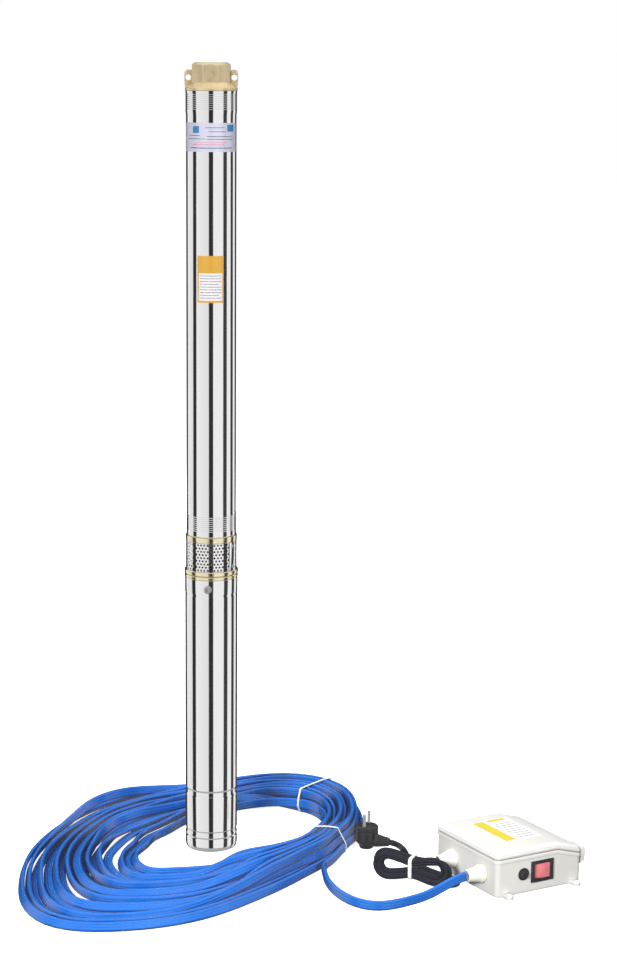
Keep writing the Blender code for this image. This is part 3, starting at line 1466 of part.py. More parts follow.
def box_gasket(axes):
    """The soft strip between tray and lid."""
    shape = bmesh.new()
    lower_outer = level(shape, box_outline(-SEAT), lambda x: seam_height(x) + SEAT)
    upper_outer = level(shape, box_outline(-SEAT), lambda x: seam_height(x) + SEAT + GASKET_HEIGHT)
    upper_inner = level(shape, box_outline(SEAT - BOX_WALL), lambda x: seam_height(x) + SEAT + GASKET_HEIGHT)
    lower_inner = level(shape, box_outline(SEAT - BOX_WALL), lambda x: seam_height(x) + SEAT)
    wall_band(shape, lower_outer, upper_outer)
    wall_band(shape, upper_outer, upper_inner)
    wall_band(shape, upper_inner, lower_inner)
    wall_band(shape, lower_inner, lower_outer)
    mesh_object("box_gasket", from_bmesh("box_gasket", shape), RUBBER, parent=axes)


def box_lid(axes):
    """The lid, bevelled all round and bent down towards the right-hand end."""
    shape = bmesh.new()
    seat = 2 * SEAT + GASKET_HEIGHT
    shoulder = seat + LID_HEIGHT - LID_BEVEL_HEIGHT
    crown_height = seat + LID_HEIGHT
    inner = LID_LIP - BOX_WALL
    rim = level(shape, box_outline(LID_LIP), lambda x: seam_height(x) + seat)
    edge = level(shape, box_outline(LID_LIP), lambda x: seam_height(x) + shoulder)
    crown = level(shape, box_outline(LID_LIP - LID_BEVEL), lambda x: seam_height(x) + crown_height)
    inner_rim = level(shape, box_outline(inner), lambda x: seam_height(x) + seat)
    roof = level(shape, box_outline(inner), lambda x: seam_height(x) + crown_height - BOX_WALL)
    for lower, upper in zip((crown, edge, rim, inner_rim), (edge, rim, inner_rim, roof)):
        wall_band(shape, lower, upper)
    bent_face(shape, crown)
    bent_face(shape, roof)
    bmesh.ops.recalc_face_normals(shape, faces=shape.faces)
    mesh_object("box_lid", from_bmesh("box_lid", shape), BOX_PLASTIC, parent=axes)


def lid_catch(axes):
    """The catch on the right-hand end that holds the lid down."""
    near = LID_LIP + SEAT
    low = CATCH_TOP - CATCH_HEIGHT
    outline = [
        (near, low + CATCH_SLANT),
        (near + CATCH_REACH, low + 2 * CATCH_SLANT),
        (near + CATCH_REACH, CATCH_TOP - 1.5 * MM),
        (near + CATCH_REACH - 1.5 * MM, CATCH_TOP),
        (near, CATCH_TOP),
    ]
    half = CATCH_WIDTH / 2
    plate(
        "lid_catch",
        outline,
        -half,
        half,
        BOX_PLASTIC,
        axes=Matrix.Rotation(math.radians(90), 4, "X"),
        at=(BOX_LENGTH, CATCH_PLACE, 0),
        parent=axes,
    )


def rocker_switch(axes):
    """The switch: a bezel and can through the wall, and the rocker on its upright pivot."""
    centre = (SWITCH_PLACE, 0, SWITCH_HEIGHT)
    front = -SEAT - BEZEL_DEPTH
    bezel = (BEZEL_WIDTH / 2, BEZEL_HEIGHT / 2)
    can = (SWITCH_CAN_WIDTH / 2, SWITCH_CAN_HEIGHT / 2)
    housing = block(
        "switch_housing",
        (-bezel[0], front, -bezel[1]),
        (bezel[0], -SEAT, bezel[1]),
        BLACK_PLASTIC,
        at=centre,
        parent=axes,
    )
    body = block(
        "switch_can",
        (-can[0], -BEZEL_DEPTH / 2, -can[1]),
        (can[0], SWITCH_CAN_DEPTH, can[1]),
        at=centre,
        parent=axes,
    )
    room = math.hypot(ROCKER_HALF, ROCKER_EDGE) + SEAT
    half_height = ROCKER_HEIGHT / 2 + SEAT
    well = block(
        "rocker_well",
        (-room, -3 * BEZEL_DEPTH, -half_height),
        (room, ROCKER_PIVOT_DEPTH + room * 0.75, half_height),
        at=centre,
        parent=axes,
    )
    unite(housing, body)
    cut(housing, well)
    outline = [
        (-ROCKER_HALF, -ROCKER_EDGE),
        (0, -ROCKER_RIDGE),
        (ROCKER_HALF, -ROCKER_EDGE),
        (ROCKER_HALF * 0.7, ROCKER_BACK * 0.8),
        (0, ROCKER_BACK),
        (-ROCKER_HALF * 0.7, ROCKER_BACK * 0.8),
    ]
    half = ROCKER_HEIGHT / 2
    plate(
        "switch_rocker",
        outline,
        -half,
        half,
        RED_PLASTIC,
        at=(SWITCH_PLACE, ROCKER_PIVOT_DEPTH, SWITCH_HEIGHT),
        turn=(0, 0, -ROCKER_TILT),
        parent=axes,
    )


def reset_breaker(axes):
    """The breaker behind the switch face, with its ring outside and the button in its nose."""
    pose = {"at": (RESET_PLACE, 0, RESET_HEIGHT), "turn": (math.radians(90), 0, 0), "parent": axes}
    front = SEAT + RESET_RING_HEIGHT
    inside = -BOX_WALL - SEAT
    well = RESET_BUTTON_RADIUS / math.cos(math.pi / SMALL) + SEAT
    well_floor = front + RESET_BUTTON_PROUD - RESET_BUTTON_DEPTH - RESET_TRAVEL - 3 * SEAT
    far = inside - RESET_CAN_DEPTH
    profile = [
        (0, well_floor),
        (well, well_floor),
        (well, front),
        (RESET_RING_RADIUS - SEAT, front),
        (RESET_RING_RADIUS, front - RESET_RING_HEIGHT / 3),
        (RESET_RING_RADIUS, SEAT),
        (RESET_NOSE_RADIUS, SEAT),
        (RESET_NOSE_RADIUS, inside),
        (RESET_CAN_RADIUS, inside),
        (RESET_CAN_RADIUS, far),
        (0, far),
    ]
    turned("breaker_body", profile, BLACK_PLASTIC, SMALL, **pose)
    tip = front + RESET_BUTTON_PROUD
    edge = RESET_BUTTON_RADIUS / 6
    button = [
        (0, tip),
        (RESET_BUTTON_RADIUS - edge, tip),
        (RESET_BUTTON_RADIUS, tip - edge),
        (RESET_BUTTON_RADIUS, tip - RESET_BUTTON_DEPTH),
        (0, tip - RESET_BUTTON_DEPTH),
    ]
    turned("reset_button", button, BLACK_PLASTIC, SMALL, **pose)


def cable_gland(name, y, tip, axes):
    """A tapered gland on the cable face, with its neck through the wall."""
    profile = [
        (0, GLAND_LENGTH),
        (tip, GLAND_LENGTH),
        (tip + SEAT, GLAND_LENGTH * 0.9),
        (GLAND_BASE - 1.5 * MM, GLAND_COLLAR),
        (GLAND_BASE, GLAND_COLLAR),
        (GLAND_BASE, SEAT),
        (GLAND_NECK, SEAT),
        (GLAND_NECK, -BOX_WALL - GLAND_NUT),
        (0, -BOX_WALL - GLAND_NUT),
    ]
    turned(
        name,
        profile,
        BOX_PLASTIC,
        SMALL,
        at=(0, y, GLAND_HEIGHT),
        turn=(0, math.radians(-90), 0),
        parent=axes,
    )


def box_insides(axes):
    """The run capacitor and the stepped terminal block on the floor of the tray."""
    floor = BOX_WALL + SEAT
    rod(
        "run_capacitor",
        CAPACITOR_RADIUS,
        0,
        CAPACITOR_LENGTH,
        STEEL,
        SMALL,
        at=CAPACITOR_PLACE + Vector((0, 0, floor + CAPACITOR_RADIUS)),
        turn=(math.radians(-90), 0, 0),
        parent=axes,
    )
    step = TERMINALS_WIDTH / 4
    outline = [
        (0, 0),
        (TERMINALS_WIDTH, 0),
        (TERMINALS_WIDTH, TERMINALS_HEIGHT / 2),
        (TERMINALS_WIDTH - step, TERMINALS_HEIGHT / 2),
        (TERMINALS_WIDTH - step, TERMINALS_HEIGHT),
        (step, TERMINALS_HEIGHT),
        (step, TERMINALS_HEIGHT / 2),
        (0, TERMINALS_HEIGHT / 2),
    ]
    plate(
        "terminal_block",
        outline,
        -TERMINALS_LENGTH,
        0,
        BLACK_PLASTIC,
        axes=Matrix.Rotation(math.radians(90), 4, "X"),
        at=TERMINALS_PLACE + Vector((0, 0, floor)),
        parent=axes,
    )


def coil_section(number, share):
    """Angle, inner radius, outer radius and height of the coil between two of its stations."""
    count = len(COIL_STATIONS)
    around = []
    for offset in (-1, 0, 1, 2):
        turns, index = divmod(number + offset, count)
        angle, *sizes = COIL_STATIONS[index]
        around.append((math.radians(angle + 360 * turns), *(size * MM for size in sizes)))
    t = share
    return [
        0.5 * (2 * b + (c - a) * t + (2 * a - 5 * b + 4 * c - d) * t**2 + (3 * b - a - 3 * c + d) * t**3)
        for a, b, c, d in zip(*around)
    ]


def cable_coil():
    """The coil of drop cable: a closed ring, narrow and high at its ties and spread flat in front."""
    shape = bmesh.new()
    sections = []
    for number in range(len(COIL_STATIONS)):
        for step in range(COIL_STEPS):
            angle, inner, outer, height = coil_section(number, step / COIL_STEPS)
            middle = (inner + outer) / 2
            half = (outer - inner) / 2
            out = Vector((math.cos(angle), math.sin(angle), 0))
            section = []
            for across, up in COIL_SECTION:
                point = COIL_CENTRE + out * (middle + half * across) + Vector((0, 0, height * up))
                section.append(shape.verts.new(point))
            sections.append(section)
    for number, section in enumerate(sections):
        wall_band(shape, section, sections[(number + 1) % len(sections)])
    bmesh.ops.recalc_face_normals(shape, faces=shape.faces)
    mesh_object("cable_coil", from_bmesh("cable_coil", shape), BLUE_SHEATH)


def mains_hank():
    """The tied bundle of mains lead, standing on its edge."""
    half = HANK_HEIGHT / 2
    reach = HANK_LENGTH / 2 - half
    outline = arc((reach, half), half, -90, 90, 6) + arc((-reach, half), half, 90, 270, 6)
    plate(
        "mains_hank",
        outline,
        -HANK_THICKNESS / 2,
        HANK_THICKNESS / 2,
        BLACK_SHEATH,
        axes=Matrix.Rotation(math.radians(90), 4, "X"),
        at=HANK_CENTRE,
        turn=(0, 0, HANK_TURN),
    )


def mains_plug():
    """The angled two-pin plug, standing on its back with its pins up and its neck to one side."""
    where = {"at": PLUG_PLACE, "turn": (0, 0, PLUG_TURN)}
    profile = [
        (0, PLUG_HEIGHT),
        (PLUG_RADIUS - PLUG_RIM, PLUG_HEIGHT),
        (PLUG_RADIUS, PLUG_HEIGHT - PLUG_RIM),
        (PLUG_RADIUS, PLUG_SHOULDER),
        (PLUG_FOOT, 0),
        (0, 0),
    ]
    body = turned("plug_body", profile, BLACK_PLASTIC, ROUND, **where)
    neck = rod(
        "plug_neck",
        PLUG_NECK_ROOT,
        0,
        PLUG_NECK_LENGTH,
        facets=SMALL,
        tip=PLUG_NECK_TIP,
        at=PLUG_PLACE + Vector((0, 0, PLUG_NECK_HEIGHT)),
        turn=(0, math.radians(90), PLUG_TURN),
    )
    unite(body, neck)
    for name, side in (("plug_pin_near", -1), ("plug_pin_far", 1)):
        offset = Vector((0, side * PIN_SPACING / 2, 0))
        offset.rotate(Euler((0, 0, PLUG_TURN)))
        at = PLUG_PLACE + offset
        socket = rod(
            f"{name}_socket",
            PIN_RADIUS + SEAT,
            PLUG_HEIGHT - PIN_DEPTH - SEAT,
            PLUG_HEIGHT + PIN_LENGTH,
            facets=HIDDEN,
            at=at,
        )
        cut(body, socket)
        top = PLUG_HEIGHT + PIN_LENGTH
        pin = [
            (0, top),
            (PIN_RADIUS * 0.5, top),
            (PIN_RADIUS, top - PIN_RADIUS),
            (PIN_RADIUS, PLUG_HEIGHT - PIN_DEPTH),
            (0, PLUG_HEIGHT - PIN_DEPTH),
        ]
        turned(name, pin, STEEL, HIDDEN, at=at)


def build_motor():
    base_cap()
    pressure_diaphragm()
    motor_casing()
    filler_plug()
    lower_end_bell()
    bearing_bush("lower_bearing_bush", LOWER_BELL_TOP, upward=False)
    thrust_bearing()
    motor_shaft()
    rotor_core()
    stator()
    upper_end_bell()
    bearing_bush("upper_bearing_bush", UPPER_BELL_BOTTOM, upward=True)
    shaft_seal()
    motor_lead_gland()


def build_pump():
    suction_bracket()
    intake_strainer()
    seam_strip()
    cable_guard()
    shaft_coupling()
    pump_shaft()
    first_impeller()
    first_bowl()
    impeller_stack()
    bowl_stack()
    upper_bearing_spider()
    pump_casing()
    discharge_head()
    lifting_lug("lifting_lug_left", -1)
    lifting_lug("lifting_lug_right", 1)
    check_valve()


def build_control_box():
    axes = box_axes()
    box_base(axes)
    box_gasket(axes)
    box_lid(axes)
    lid_catch(axes)
    rocker_switch(axes)
    reset_breaker(axes)
    cable_gland("supply_cable_gland", SUPPLY_GLAND_PLACE, SUPPLY_GLAND_TIP, axes)
    cable_gland("mains_lead_gland", MAINS_GLAND_PLACE, MAINS_GLAND_TIP, axes)
    box_insides(axes)


def build_cords():
    cable_coil()
    tube("cable_run", RUN_ROUTE, CABLE_RADIUS, CABLE_SPACING, BLUE_SHEATH)
    tube("cable_drop", DROP_ROUTE, CABLE_RADIUS, CABLE_SPACING, BLUE_SHEATH)
    mains_hank()
    tube("mains_lead", MAINS_ROUTE, LEAD_RADIUS, LEAD_SPACING, BLACK_SHEATH)
    tube("plug_lead", TAIL_ROUTE, LEAD_RADIUS, LEAD_SPACING, BLACK_SHEATH)
    mains_plug()


build_motor()
build_pump()
build_control_box()
build_cords()
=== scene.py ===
"""Looks for the borehole submersible pump, its drop cable, control box and mains lead."""

import json
import math

import bmesh
import bpy
import numpy as np
from mathutils import Matrix, Vector

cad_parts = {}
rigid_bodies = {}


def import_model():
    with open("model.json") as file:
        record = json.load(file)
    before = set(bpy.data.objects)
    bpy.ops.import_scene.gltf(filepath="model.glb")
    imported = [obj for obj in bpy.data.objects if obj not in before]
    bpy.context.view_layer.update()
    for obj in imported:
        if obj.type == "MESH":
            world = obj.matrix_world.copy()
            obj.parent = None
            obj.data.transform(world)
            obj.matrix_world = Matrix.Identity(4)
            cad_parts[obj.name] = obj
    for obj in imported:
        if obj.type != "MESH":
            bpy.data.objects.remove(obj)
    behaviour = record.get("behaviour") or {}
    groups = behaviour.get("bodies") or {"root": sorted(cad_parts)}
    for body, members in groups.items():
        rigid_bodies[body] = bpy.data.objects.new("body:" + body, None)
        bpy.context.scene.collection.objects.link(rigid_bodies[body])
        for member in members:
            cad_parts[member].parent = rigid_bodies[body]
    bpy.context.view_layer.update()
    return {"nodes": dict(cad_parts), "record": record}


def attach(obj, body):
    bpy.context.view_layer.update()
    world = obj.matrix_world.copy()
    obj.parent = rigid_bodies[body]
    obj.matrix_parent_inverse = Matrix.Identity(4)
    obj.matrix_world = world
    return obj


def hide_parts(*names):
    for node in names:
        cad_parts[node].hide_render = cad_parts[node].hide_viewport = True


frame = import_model()
MM = 0.001
NODES = frame["nodes"]

# The camera
CAMERA_PLACE = (0.1402, -3.3, 1.1506)
CAMERA_PITCH = 10.3
CAMERA_ROLL = 0.43
CAMERA_LENS = 87.2

# Places and sizes that repeat the solids, in millimetres
BOX_CORNER = Vector((406.0, -219.0, 0.0))
BOX_TURN = math.radians(30)
COIL_CENTRE = Vector((-15.0, -30.0, 0.0))
# Stations around the coil: angle in degrees, inner radius, outer radius, height
COIL_STATIONS = (
    (0, 163, 216, 42), (12, 181, 243, 42), (24, 200, 266, 42), (45, 228, 319, 40), (57, 217, 334, 37),
    (70, 205, 336, 34), (92, 142, 295, 30), (120, 90, 268, 26), (150, 78, 238, 24), (180, 76, 243, 24),
    (210, 102, 287, 22), (238, 123, 372, 22), (251, 110, 352, 23), (264, 103, 314, 24),
    (290, 96, 236, 32), (320, 119, 199, 42), (344, 146, 205, 42),
)
RUN_ROUTE = (
    (363.8, -201.8, 26.5), (352.0, -208.6, 25.0), (334.0, -219.0, 18.5), (312.0, -233.0, 11.0),
    (290.0, -247.0, 8.6), (265.0, -262.0, 7.8), (238.0, -270.0, 7.4), (212.0, -258.0, 7.4),
    (192.0, -232.0, 7.4), (178.0, -200.0, 7.4), (170.0, -168.0, 7.6), (167.5, -140.0, 8.0),
)
DROP_ROUTE = (
    (0.0, 34.0, 425.1), (0.0, 34.8, 434.0), (0.0, 38.4, 446.0), (0.0, 41.2, 458.0), (0.0, 41.8, 474.0),
    (0.0, 42.4, 494.0), (0.0, 46.0, 514.0), (-0.5, 56.0, 532.0), (-1.0, 72.0, 543.0),
    (-1.5, 91.0, 544.0), (-2.0, 108.0, 534.0), (-3.0, 122.0, 515.0), (-4.0, 134.0, 486.0),
    (-5.0, 146.0, 440.0), (-6.0, 156.0, 384.0), (-7.0, 164.0, 320.0), (-8.0, 171.0, 252.0),
    (-8.5, 176.0, 190.0),
)
DROP_LANDING = (
    (-12.0, 173.0, 140.0), (-19.0, 164.0, 102.0), (-29.0, 151.0, 74.0), (-38.0, 138.0, 55.0),
    (-39.0, 125.5, 41.5),
)

# Drop cable: a flat three-core cable
CORE_RADIUS = 3.0
CORE_SPACING = 4.0
GROOVE_DEPTH = 0.4
COIL_TURNS = 18
COIL_START = 90.0
COIL_END = -24.0
# Gaps between neighbouring turns where the coil lies loose, from the inside out, by angle
LANE_GAPS = (
    (92, (1, 1, 1, 1, 1, 1, 1, 1, 1, 1, 1, 1)),
    (150, (1.6, 1.6, 1.5, 1.3, 1.1, 1, 0.8, 0.8, 0.8, 0.9, 1, 1.2)),
    (190, (1.8, 1.7, 1.6, 1.4, 1.1, 0.9, 0.8, 0.7, 0.8, 0.9, 1.1, 1.3)),
    (238, (0.9, 1, 1.1, 0.9, 1, 0.9, 1.2, 1, 1, 1, 1.2, 1.2)),
    (275, (1, 1, 1.1, 0.9, 1.1, 1, 1, 0.9, 1.2, 1, 1, 1)),
    (0, (1, 1, 1, 1, 1, 1, 1, 1, 1, 1, 1, 1)),
)
STATIONS = 120
SEED = 11
LAYER_RISE = 14.1
UPRIGHT_LEAN = -24.0
LEAN_SPREAD = 32.0
# Slow waves along the cable, as waves per turn and size: how far turns wander, and how they lean
RANK_WAVES = ((0.9, 0.4), (2.3, 0.35), (3.7, 0.15))
LEAN_WAVES = ((0.31, 0.9), (0.77, 0.8), (1.37, 0.6), (2.61, 0.4))


def camera():
    """The camera, with its lens."""
    lens = bpy.data.cameras.new("camera")
    lens.sensor_width = 36.0
    lens.lens = CAMERA_LENS
    eye = bpy.data.objects.new("camera", lens)
    tilt = Matrix.Rotation(math.radians(90 - CAMERA_PITCH), 4, "X")
    roll = Matrix.Rotation(math.radians(CAMERA_ROLL), 4, "Z")
    eye.matrix_world = Matrix.Translation(CAMERA_PLACE) @ tilt @ roll
    bpy.context.scene.collection.objects.link(eye)
    bpy.context.scene.camera = eye


def catmull(before, start, end, after, t):
    """A point between start and end on a Catmull-Rom curve."""
    square = 2 * before - 5 * start + 4 * end - after
    cube = 3 * start - before - 3 * end + after
    return 0.5 * (2 * start + (end - before) * t + square * t**2 + cube * t**3)


def smooth_curve(points, spacing):
    """Evenly spaced points on a Catmull-Rom curve through these points."""
    knots = [Vector(p) for p in points]
    knots = [2 * knots[0] - knots[1], *knots, 2 * knots[-1] - knots[-2]]
    fine = []
    for four in zip(knots, knots[1:], knots[2:], knots[3:]):
        fine += [catmull(*four, step / 16) for step in range(16)]
    fine.append(knots[-2])
    reach = [0.0]
    for start, end in zip(fine, fine[1:]):
        reach.append(reach[-1] + (end - start).length)
    count = max(2, round(reach[-1] / spacing))
    goals = [reach[-1] * step / count for step in range(count + 1)]
    return np.array([np.interp(goals, reach, [p[axis] for p in fine]) for axis in range(3)]).T


def new_object(name, mesh, body="pump"):
    """An object in the scene that rides on a body."""
    item = bpy.data.objects.new(name, mesh)
    bpy.context.scene.collection.objects.link(item)
    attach(item, body)
    return item


def mesh_from(name, points, faces, smooth=True):
    """A mesh from points in millimetres."""
    mesh = bpy.data.meshes.new(name)
    mesh.from_pydata([tuple(float(c) * MM for c in p) for p in points], [], faces)
    mesh.update()
    if smooth:
        mesh.shade_smooth()
        mesh.set_sharp_from_angle(angle=math.radians(40))
    return mesh


def sweep(points, wides, section):
    """Sweeps a section of (across, through) points along a path. wides is each point's wide direction."""
    points = np.asarray(points, float)
    wides = np.asarray(wides, float)
    ahead = np.gradient(points, axis=0)
    ahead /= np.linalg.norm(ahead, axis=1)[:, None]
    wides = wides - ahead * np.sum(wides * ahead, axis=1)[:, None]
    wides /= np.linalg.norm(wides, axis=1)[:, None]
    thins = np.cross(ahead, wides)
    across = np.array([a for a, _ in section])[None, :, None]
    through = np.array([t for _, t in section])[None, :, None]
    rings = points[:, None, :] + wides[:, None, :] * across + thins[:, None, :] * through
    count = len(section)
    total = len(points)
    faces = []
    for ring in range(total - 1):
        low = ring * count
        high = low + count
        for side in range(count):
            after = (side + 1) % count
            faces.append((low + side, low + after, high + after, high + side))
    faces.append(tuple(range(count))[::-1])
    faces.append(tuple((total - 1) * count + side for side in range(count)))
    return rings.reshape(-1, 3), faces


def flat_section():
    """The outline of a flat cable: two round edges, and shallow grooves beside its middle core."""
    groove = ((0.5, 0.05), (0.0, GROOVE_DEPTH), (-0.5, 0.05))
    outline = []
    for side in (1, -1):
        outline += [(side * x, side * y) for x, y in arc(CORE_RADIUS, -90, 90, 8, (CORE_SPACING, 0))]
        for middle in (CORE_SPACING / 2, -CORE_SPACING / 2):
            outline += [(side * (middle + across), side * (CORE_RADIUS - dip)) for across, dip in groove]
    return outline


def coil_limits(angle):
    """Inner radius, outer radius and height of the coil at an angle in degrees."""
    table = np.array(COIL_STATIONS, float)
    around = np.array([360.0, 0, 0, 0])
    table = np.concatenate([table[-3:] - around, table, table[:3] + around])
    spots = [(index, step) for index in range(1, len(table) - 2) for step in range(10)]
    fine = np.array([catmull(*table[index - 1 : index + 3], step / 10) for index, step in spots])
    return [np.interp(np.mod(angle, 360), fine[:, 0], fine[:, column]) for column in (1, 2, 3)]


def blended(weights_at, rank, degrees):
    """Share of the coil's width at a rank from 0 to 1, from tables of gaps at a few angles."""
    total = np.zeros(len(rank))
    parts = np.zeros(len(rank))
    for centre, gaps in weights_at:
        reach = np.concatenate([[0.0], np.cumsum(gaps)])
        share = np.interp(rank, np.linspace(0, 1, len(reach)), reach / reach[-1])
        near = np.exp(-(((np.mod(degrees - centre + 180, 360) - 180) / 38.0) ** 2))
        total += near * share
        parts += near
    return total / parts


def snake(rank, columns=7, layers=3):
    """Column and layer of a rank in a packed bundle, filled up and down in turn."""
    cells = []
    for column in range(columns):
        order = range(layers) if column % 2 == 0 else range(layers - 1, -1, -1)
        cells += [((column + 0.5) / columns, layer) for layer in order]
    cells = np.array(cells)
    spot = np.clip(rank, 0, len(cells) - 1)
    return [np.interp(spot, np.arange(len(cells)), cells[:, k]) for k in (0, 1)]


def eased(share):
    """A share from 0 to 1 that starts and ends gently."""
    share = np.clip(share, 0, 1)
    return share * share * (3 - 2 * share)


def coil_goals():
    """Where each point of the coil would lie: its angle, row and station, distance out, height and tilt."""
    rng = np.random.default_rng(SEED)
    count = round((360.0 * COIL_TURNS + COIL_START - COIL_END) / 360 * STATIONS) + 1
    degrees = COIL_START - np.arange(count) * 360.0 / STATIONS
    turns = (COIL_START - degrees) / 360.0
    station = np.arange(count) % STATIONS
    row = np.arange(count) // STATIONS

    def waved(values, rows):
        """Values with slow waves along the cable added, from rows of waves per turn and size."""
        for speed, size in rows:
            values = values + size * np.sin(2 * np.pi * (turns * speed + rng.uniform()))
        return values

    # Each turn steps outward by one place where the coil is tied together
    step = eased((station / STATIONS - 0.12) / 0.2)
    places = row.max() - 1
    rank = waved(row - 1 + step, RANK_WAVES)
    inner, outer, height = coil_limits(degrees)
    tight = eased((height - 25) / 14)
    loose_u = blended(LANE_GAPS, np.clip(rank / places, 0, 1), degrees)
    packed_u, packed_layer = snake(row + step)
    share = loose_u * (1 - tight) + packed_u * tight
    # Where it lies loose, every second turn lies flat under its neighbours
    under_before = ((row - 1) % 2 == 1) & (row - 1 > 0) & (row - 1 < places)
    under_after = (row % 2 == 1) & (row > 0) & (row < places)
    under = under_before * (1 - step) + under_after * step
    edge = ((row - 1 + step) < 0.5) | ((row - 1 + step) > places - 0.5)
    lean = np.clip(waved(np.zeros(count), LEAN_WAVES) * 0.75, -1, 1)
    loose_tilt = np.radians((UPRIGHT_LEAN + LEAN_SPREAD * lean) * (1 - under) - 84 * under)
    tilt = np.radians(9 * lean) * tight + loose_tilt * (1 - tight)
    side_reach = CORE_SPACING * np.abs(np.sin(tilt)) + CORE_RADIUS
    goal_u = inner + side_reach + (outer - inner - 2 * side_reach) * share
    loose_z = np.where(edge, 7.3, 11.0) * (1 - under) + 3.6 * under
    goal_z = (7.3 + packed_layer * LAYER_RISE) * tight + loose_z * (1 - tight)
    # The first and last stretch turn towards the cable that comes down and the one that runs off
    start_part = np.clip(np.arange(count) / 14.0, 0, 1)
    last = np.clip(np.arange(count)[::-1] / 14.0, 0, 1)
    tilt = (tilt * start_part + math.radians(85) * (1 - start_part)) * last
    goal_z = goal_z * last + 7.2 * (1 - last)
    goal_z = goal_z * start_part + 30 * (1 - start_part)
    return degrees, row, station, goal_u, goal_z, tilt


def coil_path():
    """Centreline and wide directions of the coiled cable, laid turn by turn without lying in itself."""
    degrees, row, station, goal_u, goal_z, tilt = coil_goals()
    rows = row.max() + 1
    u_grid = np.full((rows, STATIONS), 1e4) + np.arange(rows)[:, None] * 500.0
    z_grid = np.zeros((rows, STATIONS))
    tilt_grid = np.zeros((rows, STATIONS))
    u_grid[row, station] = goal_u
    z_grid[row, station] = goal_z
    tilt_grid[row, station] = tilt
    active = np.zeros((rows, STATIONS), bool)
    active[row, station] = True
    offsets = np.array([-CORE_SPACING, 0.0, CORE_SPACING])
    across_u = np.sin(tilt_grid)[:, None, :] * offsets[None, :, None]
    across_z = np.cos(tilt_grid)[:, None, :] * offsets[None, :, None]
    lift = CORE_SPACING * np.abs(np.cos(tilt_grid)) + CORE_RADIUS + 0.3
    low, high, tall = coil_limits(COIL_START - np.arange(STATIONS) * 360.0 / STATIONS)
    reach = CORE_SPACING * np.abs(np.sin(tilt_grid)) + CORE_RADIUS
    owner = np.repeat(np.arange(rows), 3)
    other = (owner[:, None] != owner[None, :])[:, :, None]
    need = 2 * CORE_RADIUS + 0.15

    def per_turn(values):
        """Adds up what acts on each core, and then on each turn's three cores."""
        return values.sum(axis=1).reshape(rows, 3, STATIONS).sum(axis=1)

    def smooth_along(values, goal, weight):
        line = values[row, station] - goal
        middle = (np.roll(line, 1) + np.roll(line, -1)) / 2
        middle[0], middle[-1] = line[0], line[-1]
        values[row, station] = goal + line * (1 - weight) + middle * weight

    rounds = 260
    for turn in range(rounds):
        late = turn / rounds
        u_grid[row, station] += (goal_u - u_grid[row, station]) * 0.04 * (1 - late)
        z_grid[row, station] += (goal_z - z_grid[row, station]) * 0.05 * (1 - late) - 0.05
        for _ in range(3):
            cores_u = (u_grid[:, None, :] + across_u).reshape(rows * 3, STATIONS)
            cores_z = (z_grid[:, None, :] + across_z).reshape(rows * 3, STATIONS)
            gap_u = cores_u[:, None, :] - cores_u[None, :, :]
            gap_z = cores_z[:, None, :] - cores_z[None, :, :]
            gap = np.sqrt(gap_u**2 + gap_z**2) + 1e-6
            deep = np.where(other, np.clip(need - gap, 0, None), 0.0)
            give = 0.62 / np.clip(per_turn(deep > 0), 1, None)
            u_grid += np.where(active, per_turn(deep * gap_u / gap) * give, 0)
            z_grid += np.where(active, per_turn(deep * gap_z / gap) * give, 0)
            z_grid = np.maximum(z_grid, lift)
        inside = np.clip(u_grid, low[None, :] + reach, high[None, :] - reach)
        u_grid = np.where(active, u_grid + (inside - u_grid) * 0.5, u_grid)
        under = np.minimum(z_grid, tall[None, :] + 1.0 - lift + 0.3)
        z_grid = np.where(active, z_grid + (np.maximum(under, lift) - z_grid) * 0.3, z_grid)
        if late < 0.97:
            smooth_along(u_grid, goal_u, 0.4)
            smooth_along(z_grid, goal_z, 0.4)
    z_grid = np.maximum(z_grid, lift)
    u = u_grid[row, station]
    z = z_grid[row, station]
    for _ in range(4):
        for line in (u, z, tilt):
            line[1:-1] = line[1:-1] * 0.5 + (line[:-2] + line[2:]) * 0.25
    angle = np.radians(degrees)
    out = np.stack([np.cos(angle), np.sin(angle), np.zeros(len(angle))], axis=1)
    points = np.array(COIL_CENTRE) + out * u[:, None]
    points[:, 2] = z
    wides = out * np.sin(tilt)[:, None] + np.array([0, 0, 1.0]) * np.cos(tilt)[:, None]
    return points, wides


def twist_between(count, start, end):
    """Wide directions that turn evenly from one to another."""
    share = eased(np.linspace(0, 1, count))[:, None]
    between = np.array(start)[None, :] * (1 - share) + np.array(end)[None, :] * share
    return between / np.linalg.norm(between, axis=1)[:, None]


def relaxed(points):
    """The path with its kinks eased."""
    for _ in range(2):
        points[1:-1] = points[1:-1] * 0.5 + (points[:-2] + points[2:]) * 0.25
    return points


